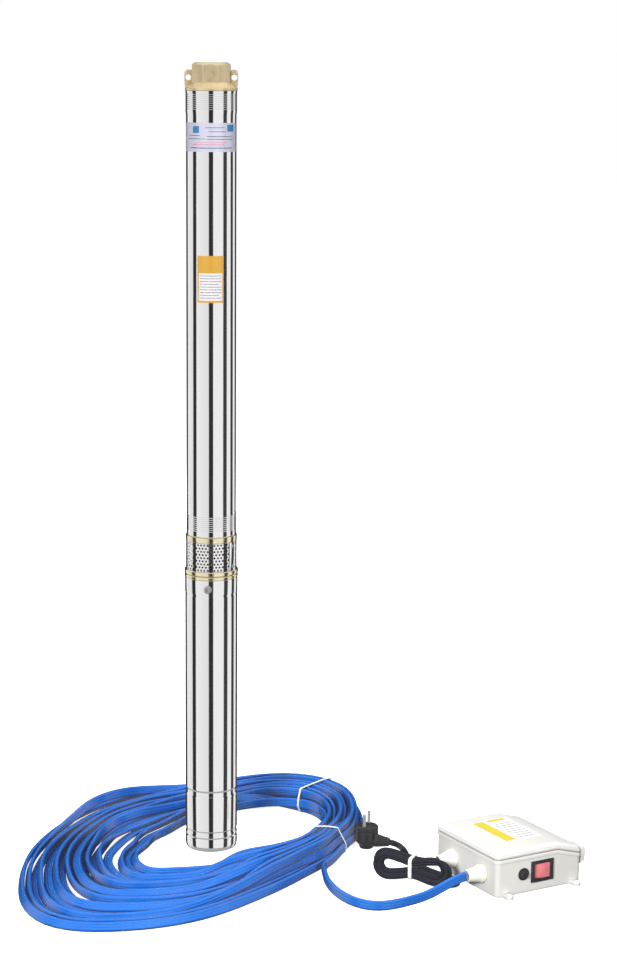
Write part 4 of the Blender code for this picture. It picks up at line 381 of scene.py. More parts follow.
def drop_cable():
    """One cable: up and over from the motor, down into the coil, round it, and out to the control box."""
    coil, coil_wides = coil_path()
    back = (coil[0] - coil[2]) / np.linalg.norm(coil[0] - coil[2])
    landing = coil[0] + back * 11.0 + np.array([0, 1.5, 2.0])
    drop = smooth_curve([*DROP_ROUTE, *DROP_LANDING, landing, coil[0], coil[2]], 7.0)
    drop = drop[: int(np.argmin(np.linalg.norm(drop - coil[0], axis=1)))]
    run = smooth_curve([coil[-3], coil[-1], *RUN_ROUTE[::-1]], 9.0)
    run = run[int(np.argmin(np.linalg.norm(run - coil[-1], axis=1))) + 1 :]
    half = len(drop) // 2
    turning = twist_between(len(drop) - half, (1.0, 0.0, 0.05), coil_wides[0])
    run_wides = twist_between(len(run), coil_wides[-1], (0.0, 0.0, 1.0))
    run_wides += np.array([0.35, 0.5, 0.0]) * np.sin(np.linspace(0, np.pi, len(run)))[:, None] * 0.4
    points = relaxed(np.concatenate([drop, coil, run]))
    wides = np.concatenate([np.tile((1.0, 0.0, 0.0), (half, 1)), turning, coil_wides, run_wides])
    cable = new_object("drop_cable", mesh_from("drop_cable", *sweep(points, wides, flat_section())))
    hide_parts("cable_coil", "cable_run", "cable_drop")
    cable.data.materials.append(BLUE)
    cable.visible_glossy = False
    return coil, coil_wides


# Looks


def add_node(tree, kind, inputs=(), **settings):
    """A shader node with its settings, and with its inputs set to values or linked to other outputs."""
    made = tree.nodes.new("ShaderNode" + kind)
    for name, value in settings.items():
        setattr(made, name, value)
    for socket, value in dict(inputs).items():
        if isinstance(value, bpy.types.NodeSocket):
            tree.links.new(value, made.inputs[socket])
        else:
            made.inputs[socket].default_value = value
    return made.outputs


def mixed(tree, share, first, second):
    """The output of a colour mix of two outputs or colours."""
    ends = {"Factor": share, "A": first, "B": second}
    return add_node(tree, "Mix", ends, data_type="RGBA")["Result"]


def ranged(tree, value, start, end, low=0.0, high=1.0):
    """The output of a value's range mapped onto another."""
    ends = {"Value": value, "From Min": start, "From Max": end, "To Min": low, "To Max": high}
    return add_node(tree, "MapRange", ends)["Result"]


def surface(
    name, colour, tint, rough, mottle, grain, metal=0.0, stretch=(1, 1, 1), spread=0.06, painted_gap_shade=None,
    **sockets,
):
    """A node material: two mixed tones, varying roughness and a fine bump, in the object's own space."""
    finish = bpy.data.materials.new(name)
    finish.use_nodes = True
    tree = finish.node_tree
    shader = tree.nodes["Principled BSDF"]
    place = add_node(tree, "TexCoord")["Object"]
    scaled = add_node(tree, "Mapping", {"Vector": place, "Scale": stretch})["Vector"]
    clouds = add_node(tree, "TexNoise", {"Vector": scaled, "Scale": mottle, "Detail": 5.0})["Fac"]
    tones = mixed(tree, clouds, (*colour, 1), (*tint, 1))
    # Painted shade: where the ambient occlusion finds other surfaces close by, the tone is mixed towards a
    # dark colour that stands in for the shade in gaps between parts
    if painted_gap_shade:
        reach, deep, low, high = painted_gap_shade
        near = add_node(tree, "AmbientOcclusion", {"Distance": reach}, samples=8)["AO"]
        tones = mixed(tree, ranged(tree, near, low, high), (*deep, 1), tones)
    scale, strength, depth = grain
    specks = add_node(tree, "TexNoise", {"Vector": scaled, "Scale": scale, "Detail": 3.0})["Fac"]
    relief = add_node(tree, "Bump", {"Height": specks, "Strength": strength, "Distance": depth})["Normal"]
    gloss = ranged(tree, clouds, 0.3, 0.7, max(0.02, rough - spread), rough + spread)
    for socket, output in (("Base Color", tones), ("Roughness", gloss), ("Normal", relief)):
        tree.links.new(output, shader.inputs[socket])
    shader.inputs["Metallic"].default_value = metal
    for socket, value in sockets.items():
        shader.inputs[socket.replace("_", " ")].default_value = value
    return finish


def printed(name, colour, tint, rough=0.34, mottle=60.0, metal=0.0):
    """A smooth printed or painted film."""
    return surface(name, colour, tint, rough, mottle, (1500, 0.05, 0.0001), metal)


STREAKS = (1, 1, 0.03)
POLISHED = surface(
    "polished_steel", (0.93, 0.93, 0.93), (0.88, 0.88, 0.89),
    0.07, 300, (900, 0.04, 0.0002), 1.0, STREAKS, 0.03
)
STEEL = surface(
    "plain_steel", (0.62, 0.62, 0.62), (0.52, 0.51, 0.5), 0.26, 240, (2400, 0.2, 0.0002), 1.0, spread=0.08
)
CAST_GRAIN = (1500, 0.35, 0.0002)
CAST_BRASS = surface(
    "cast_brass", (0.88, 0.73, 0.47), (0.80, 0.64, 0.38), 0.4, 130, CAST_GRAIN, 0.85, spread=0.1
)
# Brass with a rougher, duller finish, and a colour darkened almost to black as painted shade for the intake
# legs, which stand in the shade inside the perforated sleeve
BRASS_PAINTED_SHADE = surface(
    "dull_brass", (0.16, 0.12, 0.06), (0.11, 0.08, 0.04), 0.55, 130, CAST_GRAIN, 0.6, spread=0.1
)
BRIGHT_BRASS = surface(
    "bright_brass", (0.96, 0.88, 0.64), (0.90, 0.78, 0.50),
    0.15, 200, (1200, 0.1, 0.0002), 1.0, (1, 1, 0.2), 0.05
)
BLUE = surface(
    "blue_sheath",
    (0.010, 0.150, 0.58),
    (0.007, 0.11, 0.47),
    0.3,
    34,
    (700, 0.06, 0.0003),
    # Painted shade: the sheath turns dark navy in the gaps between the coil's strands, where shade falls
    painted_gap_shade=(0.012, (0.0, 0.018, 0.15), 0.40, 0.82),
    Coat_Weight=0.5,
    Coat_Roughness=0.16,
)
BLACK = surface(
    "black_sheath", (0.004, 0.005, 0.012), (0.008, 0.009, 0.018), 0.3, 90, (900, 0.25, 0.0003), spread=0.08
)
BOX_SKIN = surface("box_plastic", (0.73, 0.72, 0.69), (0.705, 0.69, 0.655), 0.40, 26, (1900, 0.22, 0.0002))
CREAM = surface("gland_plastic", (0.88, 0.86, 0.79), (0.78, 0.73, 0.62), 0.38, 60, (1600, 0.2, 0.0002))
DARK = surface(
    "black_plastic", (0.008, 0.008, 0.010), (0.03, 0.028, 0.03), 0.3, 120, (2200, 0.2, 0.0002), spread=0.08
)
RED = surface(
    "red_plastic",
    (0.66, 0.22, 0.25),
    (0.52, 0.11, 0.13),
    0.22,
    150,
    (1500, 0.1, 0.0002),
    Emission_Color=(0.9, 0.12, 0.14, 1),
    Emission_Strength=0.12,
    Coat_Weight=0.4,
)
RUBBER = surface(
    "rubber", (0.03, 0.03, 0.03), (0.045, 0.045, 0.045), 0.6, 110, (1300, 0.35, 0.0003), spread=0.1
)
SEAL_GREY = surface("gasket_rubber", (0.36, 0.35, 0.33), (0.3, 0.29, 0.27), 0.6, 110, (1300, 0.3, 0.0003))
COPPER = surface(
    "copper_wire", (0.75, 0.32, 0.16), (0.55, 0.2, 0.09),
    0.3, 700, (2500, 0.5, 0.0004), 1.0, (1, 1, 0.05), 0.1
)
CARBON = surface("carbon", (0.05, 0.05, 0.055), (0.08, 0.08, 0.085), 0.45, 200, (2500, 0.3, 0.0002))
RESIN = surface("stage_plastic", (0.10, 0.10, 0.11), (0.13, 0.13, 0.14), 0.42, 70, (1500, 0.25, 0.0002))
NYLON = surface("nylon", (0.86, 0.86, 0.84), (0.78, 0.78, 0.76), 0.36, 160, (1800, 0.2, 0.0002))
PAPER = printed("label_silver", (0.50, 0.50, 0.59), (0.46, 0.46, 0.56), 0.32, metal=0.15)
WHITE = printed("label_white", (0.84, 0.83, 0.84), (0.78, 0.77, 0.79))
PALE = printed("label_pale", (0.62, 0.60, 0.60), (0.56, 0.54, 0.54))
INK = printed("label_ink", (0.09, 0.09, 0.14), (0.14, 0.14, 0.2), 0.4, 90)
RED_INK = printed("label_red_ink", (0.45, 0.12, 0.18), (0.66, 0.28, 0.36), 0.4, 90)
TEAL = printed("label_teal", (0.015, 0.11, 0.26), (0.05, 0.22, 0.38), 0.4, 400)
GOLD = printed("label_gold", (0.56, 0.31, 0.05), (0.55, 0.30, 0.05), 0.35, 90, 0.2)
YELLOW = printed("label_yellow", (0.70, 0.60, 0.06), (0.62, 0.52, 0.04), 0.38)
FLOOR = surface(
    "floor",
    (0.93, 0.93, 0.93),
    (0.91, 0.91, 0.91),
    0.7,
    3,
    (400, 0.02, 0.0003),
    Emission_Color=(1, 1, 1, 1),
    Emission_Strength=0.8,
)

CAD_FINISH = {
    "polished_steel": POLISHED,
    "steel": STEEL,
    "brass": CAST_BRASS,
    "copper": COPPER,
    "rubber": RUBBER,
    "stage_plastic": RESIN,
    "carbon": CARBON,
    "box_plastic": BOX_SKIN,
    "black_plastic": DARK,
    "red_plastic": RED,
    "blue_sheath": BLUE,
    "black_sheath": BLACK,
}
SLOT_OF = {finish: slot for slot, finish in CAD_FINISH.items()}
SLOT_OF |= {BRASS_PAINTED_SHADE: "brass", BRIGHT_BRASS: "brass", CREAM: "box_plastic"}


def dress_solids():
    """Gives every solid that stays a finished material and smooth shading."""
    slots = {row["node"]: row["material_slot"] for row in frame["record"]["subparts"]}
    for name, item in NODES.items():
        finish = SEAL_GREY if name == "box_gasket" else CAD_FINISH[slots[name]]
        for slot in item.material_slots:
            slot.material = finish
        item.data.shade_smooth()
        item.data.set_sharp_from_angle(angle=math.radians(38))


# Builders of rigid pieces, in millimetres


def turned(degrees, axis):
    """A rotation about an axis, by an angle in degrees."""
    return Matrix.Rotation(math.radians(degrees), 4, axis)


def moved(shape, *steps):
    """The shape after one transformation, or several in turn."""
    for matrix in steps:
        bmesh.ops.transform(shape, matrix=matrix, verts=shape.verts)
    return shape


def add_piece(name, shape, finish, slot=None, body="pump", replaces=(), matrix=None, sharp=38):
    """Turns a bmesh in millimetres into a piece on a body."""
    bmesh.ops.recalc_face_normals(shape, faces=shape.faces)
    if matrix is not None:
        moved(shape, matrix)
    bmesh.ops.scale(shape, vec=(MM, MM, MM), verts=shape.verts)
    mesh = bpy.data.meshes.new(name)
    shape.to_mesh(mesh)
    shape.free()
    mesh.shade_smooth()
    mesh.set_sharp_from_angle(angle=math.radians(sharp))
    mesh.materials.append(finish)
    item = new_object(name, mesh, body)
    if replaces:
        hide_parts(*replaces)
    return item


def soften(profile, radius, closed=False, steps=3):
    """Rounds the corners of a profile by up to this radius."""
    points = [Vector(p) for p in profile]
    soft = []
    for index, here in enumerate(points):
        if not closed and index in (0, len(points) - 1):
            soft.append(here)
            continue
        before = points[index - 1]
        after = points[(index + 1) % len(points)]
        back, ahead = before - here, after - here
        cut_back = min(radius, back.length * 0.45)
        if cut_back < 0.02 or abs(back.normalized().dot(ahead.normalized())) > 0.995:
            soft.append(here)
            continue
        reach = min(cut_back, ahead.length * 0.45)
        start = here + back.normalized() * reach
        end = here + ahead.normalized() * reach
        for step in range(steps + 1):
            t = step / steps
            soft.append(start * (1 - t) ** 2 + here * 2 * t * (1 - t) + end * t**2)
    return [(p.x, p.y) for p in soft]


def lathe_shape(profile, closed=False, steps=96):
    """A body of revolution about Z from (radius, height) points."""
    shape = bmesh.new()
    ways = [2 * math.pi * k / steps for k in range(steps)]
    rings = []
    for radius, height in profile:
        if radius < 0.001:
            rings.append([shape.verts.new((0, 0, height))] * steps)
        else:
            rings.append(
                [shape.verts.new((radius * math.cos(a), radius * math.sin(a), height)) for a in ways]
            )
    if closed:
        rings.append(rings[0])
    for low, high in zip(rings, rings[1:]):
        for k in range(steps):
            after = (k + 1) % steps
            # Where a ring is a single point on the axis, the face is a triangle
            corners = list(dict.fromkeys((low[k], low[after], high[after], high[k])))
            if len(corners) > 2:
                shape.faces.new(corners)
    return shape


def lathe(name, profile, finish, closed=False, steps=96, soft=0.0, **where):
    """A turned piece, with its corners rounded when soft is given."""
    if soft:
        profile = soften(profile, soft, closed)
    return add_piece(name, lathe_shape(profile, closed, steps), finish, **where)


def walls(shape, *loops):
    """Adds the walls between each loop of points and the next."""
    for low, high in zip(loops, loops[1:]):
        for index in range(len(low)):
            after = (index + 1) % len(low)
            shape.faces.new((low[index], low[after], high[after], high[index]))


def prism_shape(outline, low, high):
    """A prism on an outline of (x, y) points, from one height to another."""
    shape = bmesh.new()
    bottom = [shape.verts.new((x, y, low)) for x, y in outline]
    top = [shape.verts.new((x, y, high)) for x, y in outline]
    shape.faces.new(bottom[::-1])
    shape.faces.new(top)
    walls(shape, bottom, top)
    return shape


def block(x0, y0, x1, y1, low, high):
    """A straight block between two corners and two heights."""
    return prism_shape([(x0, y0), (x1, y0), (x1, y1), (x0, y1)], low, high)


def centred_block(half_wide, half_deep, low, high):
    """A straight block around the axis."""
    return block(-half_wide, -half_deep, half_wide, half_deep, low, high)


def rod(radius, low, high, steps=32):
    """A round rod on the axis."""
    return lathe_shape([(0, low), (radius, low), (radius, high), (0, high)], steps=steps)


def rounded(shape, width, segments=2, angle=35):
    """Rounds the edges of a shape that are sharper than this angle."""
    bmesh.ops.recalc_face_normals(shape, faces=shape.faces)
    shape.edges.ensure_lookup_table()
    sharp = [e for e in shape.edges if len(e.link_faces) == 2 and e.calc_face_angle(0) > math.radians(angle)]
    bmesh.ops.bevel(
        shape, geom=sharp, offset=width, segments=segments, profile=0.5, affect="EDGES", clamp_overlap=True
    )
    return shape


def carve(item, *cutters, mode="DIFFERENCE"):
    """Cuts closed shapes in millimetres out of a piece, and keeps the result as its mesh."""
    spare = []
    for number, shape in enumerate(cutters):
        bmesh.ops.recalc_face_normals(shape, faces=shape.faces)
        bmesh.ops.scale(shape, vec=(MM, MM, MM), verts=shape.verts)
        mesh = bpy.data.meshes.new(f"{item.name}_cutter_{number}")
        shape.to_mesh(mesh)
        shape.free()
        cutter = bpy.data.objects.new(mesh.name, mesh)
        bpy.context.scene.collection.objects.link(cutter)
        change = item.modifiers.new("Cut", "BOOLEAN")
        change.operation = mode
        change.solver = "EXACT"
        change.object = cutter
        spare.append(cutter)
    made = item.evaluated_get(bpy.context.evaluated_depsgraph_get())
    mesh = bpy.data.meshes.new_from_object(made)
    item.modifiers.clear()
    item.data = mesh
    mesh.shade_smooth()
    mesh.set_sharp_from_angle(angle=math.radians(38))
    for cutter in spare:
        bpy.data.objects.remove(cutter)


def arc(radius, start, end, steps, centre=(0, 0)):
    """Points along an arc, with its angles in degrees."""
    ways = [math.radians(start + (end - start) * k / steps) for k in range(steps + 1)]
    return [(centre[0] + radius * math.cos(a), centre[1] + radius * math.sin(a)) for a in ways]


def curved_patch(inner, thick, start, end, low, high, steps=None):
    """A patch of a sleeve around Z, from one angle to another."""
    steps = steps or max(2, round(abs(end - start) / 4))
    return prism_shape(arc(inner, start, end, steps) + arc(inner + thick, end, start, steps), low, high)


# The pump

# Heights up the pump
BASE_TOP = 24.0
SHELL_BOTTOM = 30.0
GROOVE = (83.0, 91.5)
MOTOR_STEP = 384.0
SHELL_TOP = 409.0
MOTOR_TOP = 414.0
FLANGE_TOP = 421.0
COLLAR = (463.0, 471.0)
BRACKET_TOP = 499.0
LOWER_BAND_TOP = 503.0
HEAD_BOTTOM = 1075.0
CASING_TOP = 1104.0
SPOUT_BOTTOM = 1117.0
PUMP_TOP = 1143.0
SEAT = 0.3
# Radii
MOTOR = 38.0
MOTOR_BORE = 36.8
MOTOR_HEAD = 38.3
STRAINER = 36.9
CASING = 35.5
CASING_BORE = 34.3
THREAD_PITCH = 2.9
THREAD_DEPTH = 0.6
# The thread's outline: depth, and how far down the pitch
THREAD_FORM = ((0, 0), (0, 0.42), (THREAD_DEPTH, 0.60), (THREAD_DEPTH, 0.74))
SPOUT_FLATS = 53.5
OUTLET_BORE = 20.0
LUG_EYE = (32.2, 1122.0)
FILLER_HOLE = 3.3
# The perforated sleeve: half its gap at the back, and its holes
SLEEVE_GAP = 11.0
HOLE_ROWS, HOLE_COLUMNS = 9, 42
HOLE = 1.5
# Azimuths from the front towards the control box, in degrees
SEAM_AZIMUTH = 57.0
FILLER_AZIMUTH = -5.4


def facing(azimuth, height):
    """A place on the pump's side whose own Z points out."""
    return turned(azimuth, "Z") @ Matrix.Translation((0, 0, height)) @ turned(90, "X")


def thread(radius, low, high):
    """Profile points down a threaded band, from high to low."""
    count = int((high - low) / THREAD_PITCH)
    points = []
    for k in range(count):
        top = high - k * THREAD_PITCH
        points += [(radius - dip, top - THREAD_PITCH * share) for dip, share in THREAD_FORM]
    points.append((radius, high - count * THREAD_PITCH))
    return points


def motor():
    """The motor: its base cap, shell, brass head with the rim showing, and filler screw."""
    spigot, foot = MOTOR_BORE - SEAT, SHELL_BOTTOM - SEAT
    base = [(0, 6), (spigot - 6, 6), (spigot - 6, 39), (spigot, 39), (spigot, foot), (MOTOR - 0.9, foot)]
    base += [(MOTOR - 0.9, BASE_TOP + 1.6), (MOTOR - 0.2, BASE_TOP), (MOTOR, BASE_TOP - 2.0)]
    base += [(MOTOR - 0.55, BASE_TOP - 4.2), (MOTOR - 0.55, BASE_TOP - 5.4), (MOTOR, BASE_TOP - 7.2)]
    base += [(MOTOR, 7), (MOTOR - 0.9, 2.6), (MOTOR - 2.6, 0.3), (MOTOR - 4.5, 0), (0, 0)]
    lathe("base_cap_cup", base, POLISHED, soft=0.7, replaces=["base_cap"])
    low, high = GROOVE
    shell = [(MOTOR_HEAD, SHELL_TOP), (MOTOR_HEAD, MOTOR_STEP + 3.4), (MOTOR - 0.12, MOTOR_STEP)]
    shell += [(MOTOR, MOTOR_STEP - 3.0), (MOTOR, high + 1.5), (MOTOR - 1.5, high - 1.6)]
    shell += [(MOTOR - 1.5, low + 2.6), (MOTOR - 0.4, low), (MOTOR, low - 1.5), (MOTOR, SHELL_BOTTOM + 0.9)]
    shell += [(MOTOR - 0.9, SHELL_BOTTOM), (MOTOR_BORE, SHELL_BOTTOM), (MOTOR_BORE, SHELL_TOP)]
    tube = lathe("motor_shell", shell, POLISHED, closed=True, soft=0.8, replaces=["motor_casing"])
    rest = SHELL_TOP + SEAT
    rim = [(37.6, MOTOR_TOP), (38.7, MOTOR_TOP - 1.3), (38.7, rest), (spigot, rest), (spigot, 372)]
    rim += [(31.5, 372), (31.5, 392), (14.4, 392), (14.4, MOTOR_TOP)]
    bell = lathe("motor_head_rim", rim, BRIGHT_BRASS, closed=True, soft=0.5, replaces=["upper_end_bell"])
    seat = facing(FILLER_AZIMUTH, SHELL_TOP - 13)
    for item in (tube, bell):
        carve(item, moved(rod(FILLER_HOLE, 30, 42), seat))
    head = MOTOR_HEAD + SEAT
    plug = [(0, head + 0.5), (1.8, head + 0.5), (1.9, head + 2.6), (4.4, head + 2.6), (5.8, head + 1.0)]
    plug += [(5.8, head), (3, head), (3, MOTOR_HEAD - 4.6), (0, MOTOR_HEAD - 4.6)]
    lathe("filler_screw", plug, STEEL, steps=48, soft=0.3, matrix=seat, replaces=["filler_plug"])


def bracket():
    """The brass bracket between motor and pump: flange, upper collar and legs."""
    low, high = COLLAR
    seat, spigot = MOTOR_TOP + SEAT, CASING_BORE - SEAT
    flange = [(39, FLANGE_TOP - 1.0), (39, MOTOR_TOP + 1.2), (38, seat), (16, seat), (16, FLANGE_TOP)]
    flange += [(38.2, FLANGE_TOP)]
    foot = lathe(
        "intake_flange", flange, BRIGHT_BRASS, closed=True, soft=0.5, replaces=["suction_bracket"]
    )
    carve(foot, block(-10, 30.2, 10, 42, MOTOR_TOP - 1, FLANGE_TOP + 1))
    collar = [(spigot, BRACKET_TOP), (spigot, high), (37.2, high), (37.2, low), (26, low)]
    collar += [(26, BRACKET_TOP)]
    lathe("intake_collar", collar, BRIGHT_BRASS, closed=True, soft=0.5)
    for number in range(4):
        middle = 45 + 90 * number
        leg = rounded(curved_patch(26, 4, middle - 18, middle + 18, FLANGE_TOP - 0.2, low + 0.2), 0.6)
        # The legs get the brass with painted shade, for the shade behind the sleeve
        add_piece(f"intake_leg_{number + 1}", leg, BRASS_PAINTED_SHADE)


def strainer(bottom, top):
    """The perforated sleeve, with its holes in staggered rows and a gap at the back for the guard."""
    half_gap = math.degrees(math.asin(SLEEVE_GAP / STRAINER))
    start, end = 90 + half_gap, 450 - half_gap
    cells = 2 * HOLE_COLUMNS + 1
    rise = (top - bottom) / HOLE_ROWS
    width = math.radians(end - start) * STRAINER / cells
    shape = bmesh.new()
    known = {}

    def vertex(column, height):
        """A point of the sleeve at this half column and height."""
        key = (round(column, 3), round(height, 3))
        if key not in known:
            angle = math.radians(start + (end - start) * column / cells)
            known[key] = shape.verts.new((STRAINER * math.cos(angle), STRAINER * math.sin(angle), height))
        return known[key]

    for row in range(HOLE_ROWS):
        z0, z1 = bottom + row * rise, bottom + (row + 1) * rise
        middle = (z0 + z1) / 2
        shift = row % 2
        for column in range(HOLE_COLUMNS):
            left = 2 * column + shift
            outer = [(left, z0), (left + 1, z0), (left + 2, z0), (left + 2, middle), (left + 2, z1)]
            outer += [(left + 1, z1), (left, z1), (left, middle)]
            inner = []
            for k in range(16):
                angle = math.radians(225 + 22.5 * k)
                inner.append((left + 1 + HOLE * math.cos(angle) / width, middle + HOLE * math.sin(angle)))
            for k in range(8):
                ring = [outer[k], outer[(k + 1) % 8], inner[(2 * k + 2) % 16], inner[2 * k + 1], inner[2 * k]]
                shape.faces.new([vertex(*p) for p in ring])
        lone = 0 if shift else 2 * HOLE_COLUMNS
        edge = [(lone, z0), (lone + 1, z0), (lone + 1, middle), (lone + 1, z1), (lone, z1), (lone, middle)]
        shape.faces.new([vertex(*p) for p in edge])
    sleeve = add_piece("strainer_sleeve", shape, POLISHED, replaces=["intake_strainer"], sharp=60)
    sheet = sleeve.modifiers.new("Sheet", "SOLIDIFY")
    sheet.thickness = 0.6 * MM
    split = sleeve.modifiers.new("Crease", "EDGE_SPLIT")
    split.split_angle = math.radians(40)
    sheet.offset = -1 if sleeve.data.polygons[0].normal.dot(sleeve.data.polygons[0].center) > 0 else 1


def intake():
    """The intake: bracket, perforated sleeve, and the plain strip over its seam with two screws."""
    bottom, top = FLANGE_TOP + SEAT, COLLAR[0] - SEAT
    bracket()
    strainer(bottom, top)
    half = math.degrees(7.5 / 37.2)
    middle = SEAM_AZIMUTH - 90
    strip = curved_patch(37.2, 0.8, middle - half, middle + half, bottom, top, 8)
    add_piece("seam_strip", rounded(strip, 0.25), POLISHED, replaces=["strainer_seam_strip"])
    screw = [(0, 39.6), (1.2, 39.55), (2.1, 39.2), (2.6, 38.6), (2.6, 38.3), (1.3, 38.3), (1.3, 37.5)]
    screw += [(0, 37.5)]
    for name, height in (("lower", bottom + 6), ("upper", top - 6)):
        seat = facing(SEAM_AZIMUTH, height)
        node = f"strainer_screw_{name}"
        item = lathe(f"strip_screw_{name}", screw, STEEL, steps=32, matrix=seat, replaces=[node])
        carve(
            item, *(moved(centred_block(1.5, 0.3, 39.0, 41), seat @ turned(turn, "Z")) for turn in (20, 110))
        )


def casing():
    """The pump casing, with a threaded band at each end."""
    low, high = COLLAR[1] + SEAT, CASING_TOP - SEAT
    profile = [(36.4, high), (36.4, 1102.5), *thread(36.3, HEAD_BOTTOM + 1.5, 1101.5)]
    profile += [(36.1, HEAD_BOTTOM + 0.5), (CASING, HEAD_BOTTOM - 4.5), (CASING, LOWER_BAND_TOP + 1.0)]
    profile += thread(35.9, low + 6, LOWER_BAND_TOP)
    profile += [(35.9, low + 1), (35.4, low), (CASING_BORE, low), (CASING_BORE, high)]
    lathe("pump_shell", profile, POLISHED, closed=True, replaces=["pump_casing"], sharp=25)


def outlet():
    """The discharge head: domed flange, octagonal spout with its thread, and two lifting lugs."""
    spigot = CASING_BORE - SEAT
    corner = SPOUT_FLATS / 2 / math.cos(math.pi / 8)
    seat, ledge, socket = HEAD_BOTTOM + 5, HEAD_BOTTOM + 18, PUMP_TOP - 30
    neck, over, under = SPOUT_BOTTOM - 4, PUMP_TOP + 2, 1105
    dome = [(corner - 1.2, SPOUT_BOTTOM - 1.5), (30.6, 1112.6), (33.6, 1109.8), (36.0, 1108.4)]
    dome += [(36.9, 1107.4), (36.9, CASING_TOP), (spigot, CASING_TOP), (spigot, HEAD_BOTTOM)]
    dome += [(11, HEAD_BOTTOM), (11, seat), (16, seat), (16, ledge), (17.8, ledge), (17.8, socket)]
    dome += [(21, socket), (21, SPOUT_BOTTOM - 1.5)]
    lathe("outlet_flange", dome, CAST_BRASS, closed=True, soft=0.5, replaces=["discharge_head"])
    octagon = prism_shape(arc(corner, 22.5, 337.5, 7), neck, PUMP_TOP)
    spout = add_piece("outlet_spout", rounded(octagon, 0.7), CAST_BRASS)
    cone = [(0, over), (OUTLET_BORE - 0.3, over), (corner + 1, PUMP_TOP - 5.2), (corner + 1, under)]
    cone += [(0, under)]
    carve(spout, lathe_shape(cone), mode="INTERSECT")
    carve(spout, rod(21.5, over, under, 96))
    liner = [(21.5, neck), (21.5, PUMP_TOP - 0.4), (20.9, PUMP_TOP - 0.4)]
    liner += [(r - 15.7, z) for r, z in thread(36.3, SPOUT_BOTTOM - 3.5, PUMP_TOP - 1.6)]
    liner += [(20.9, neck)]
    lathe("outlet_thread", liner, BRIGHT_BRASS, closed=True, sharp=25)
    x, z = LUG_EYE
    outline = [(27.05, 1115.8), (30.2, 1113.2), (33.4, 1110.4), (36.6, 1108.7), (37.3, 1113.5), (37.6, z)]
    outline += arc(5.3, 0, 90, 6, (32.3, 1127.7)) + [(28.0, 1132.6), (27.05, 1131.5)]
    bore = soften([(0, -9), (5.4, -9), (4.1, -2.4), (4.1, 2.4), (5.4, 9), (0, 9)], 0.8)
    for name, side in (("left", -1), ("right", 1)):
        shape = rounded(moved(prism_shape(outline, -3, 3), turned(90, "X")), 0.9)
        turn = turned(180 if side < 0 else 0, "Z")
        lug = add_piece(f"lug_{name}", shape, CAST_BRASS, matrix=turn, replaces=[f"lifting_lug_{name}"])
        carve(
            lug, moved(lathe_shape(bore, steps=40), Matrix.Translation((side * x, 0, z)) @ turned(90, "X"))
        )


def labels():
    """Two bare plates on the casing: thin sheets with plain coloured fields and ruled lines."""
    plate = CASING + 0.05
    face = plate + 0.22
    lines = [(-12, 33, 1053), (-4, 38, 1047.5), (-58, -24, 1042), (-8, 58, 1041)]
    lines += [(-58, -12, 1037.5), (-8, 58, 1037)]
    # Name, how far out, first and last azimuth, lower and upper edge, finish, thickness
    patches = [
        ("rating_plate", plate, -75, 75, 1020, 1060, PAPER, 0.2),
        ("rating_field", face, 41, 62, 1048, 1057.5, TEAL, 0.06),
        ("rating_patch", face, -43, -26, 1046, 1055.5, TEAL, 0.06),
    ]
    for number, (start, end, height) in enumerate(lines):
        patches.append((f"rating_line_{number + 1}", face, start, end, height, height + 0.9, INK, 0.05))
    patches += [
        ("rating_red_line", face, -40, 34, 1029.5, 1030.6, RED_INK, 0.05),
        ("rating_red_line_low", face, -34, 40, 1032.6, 1033.4, RED_INK, 0.05),
        ("rating_base_line", face, -52, 56, 1024.8, 1026.0, INK, 0.05),
        ("gold_plate", plate, -30.5, 31.5, 809.5, 875.5, GOLD, 0.2),
        ("gold_plate_field", face, -27, 28, 812.5, 851.0, PALE, 0.06),
    ]
    for number in range(9):
        short = 26 - (7 if number % 4 == 3 else 0)
        low = 847.0 - 3.9 * number
        patches.append(
            (f"gold_plate_line_{number + 1}", face + 0.06, -25, short, low, low + 0.8, INK, 0.04)
        )
    for name, radius, start, end, low, high, finish, thick in patches:
        add_piece(
            name, curved_patch(radius, thick, start - 90, end - 90, low, high), finish, "polished_steel"
        )


# The control box, in its own axes: x along the switch face, y along the cable face

BOX = Matrix.Translation(BOX_CORNER) @ Matrix.Rotation(BOX_TURN, 4, "Z")
BOX_LENGTH, BOX_DEPTH, BOX_WALL, BOX_ROUND = 145.0, 154.0, 2.6, 7.0
SEAM, SEAM_DROP, BOX_BEND = 54.0, 12.0, 103.0
CATCH_PLACE, CATCH_WIDTH = 18.0, 28.0
EARS = ((15, 0, -1), (130, 0, -1), (15, 154, 1), (130, 154, 1))
SWITCH = Vector((76.5, 0, 29.0))
RESET = Vector((45.0, 0, 28.5))
GLAND_HEIGHT = 26.5
# Each gland's place along the left face, and the radius of its tip
GLANDS = {"supply_cable_gland": (36.0, 8.6), "mains_lead_gland": (109.0, 7.0)}


def box_plan(grow):
    """The box's outline, grown or shrunk, with points where the bend crosses it."""
    radius = max(BOX_ROUND + grow, 0.8)
    low, right, back = radius - grow, BOX_LENGTH + grow - radius, BOX_DEPTH + grow - radius
    points = arc(radius, 180, 270, 6, (low, low)) + [(BOX_BEND, -grow)]
    points += arc(radius, 270, 360, 6, (right, low)) + arc(radius, 0, 90, 6, (right, back))
    return points + [(BOX_BEND, BOX_DEPTH + grow)] + arc(radius, 90, 180, 6, (low, back))


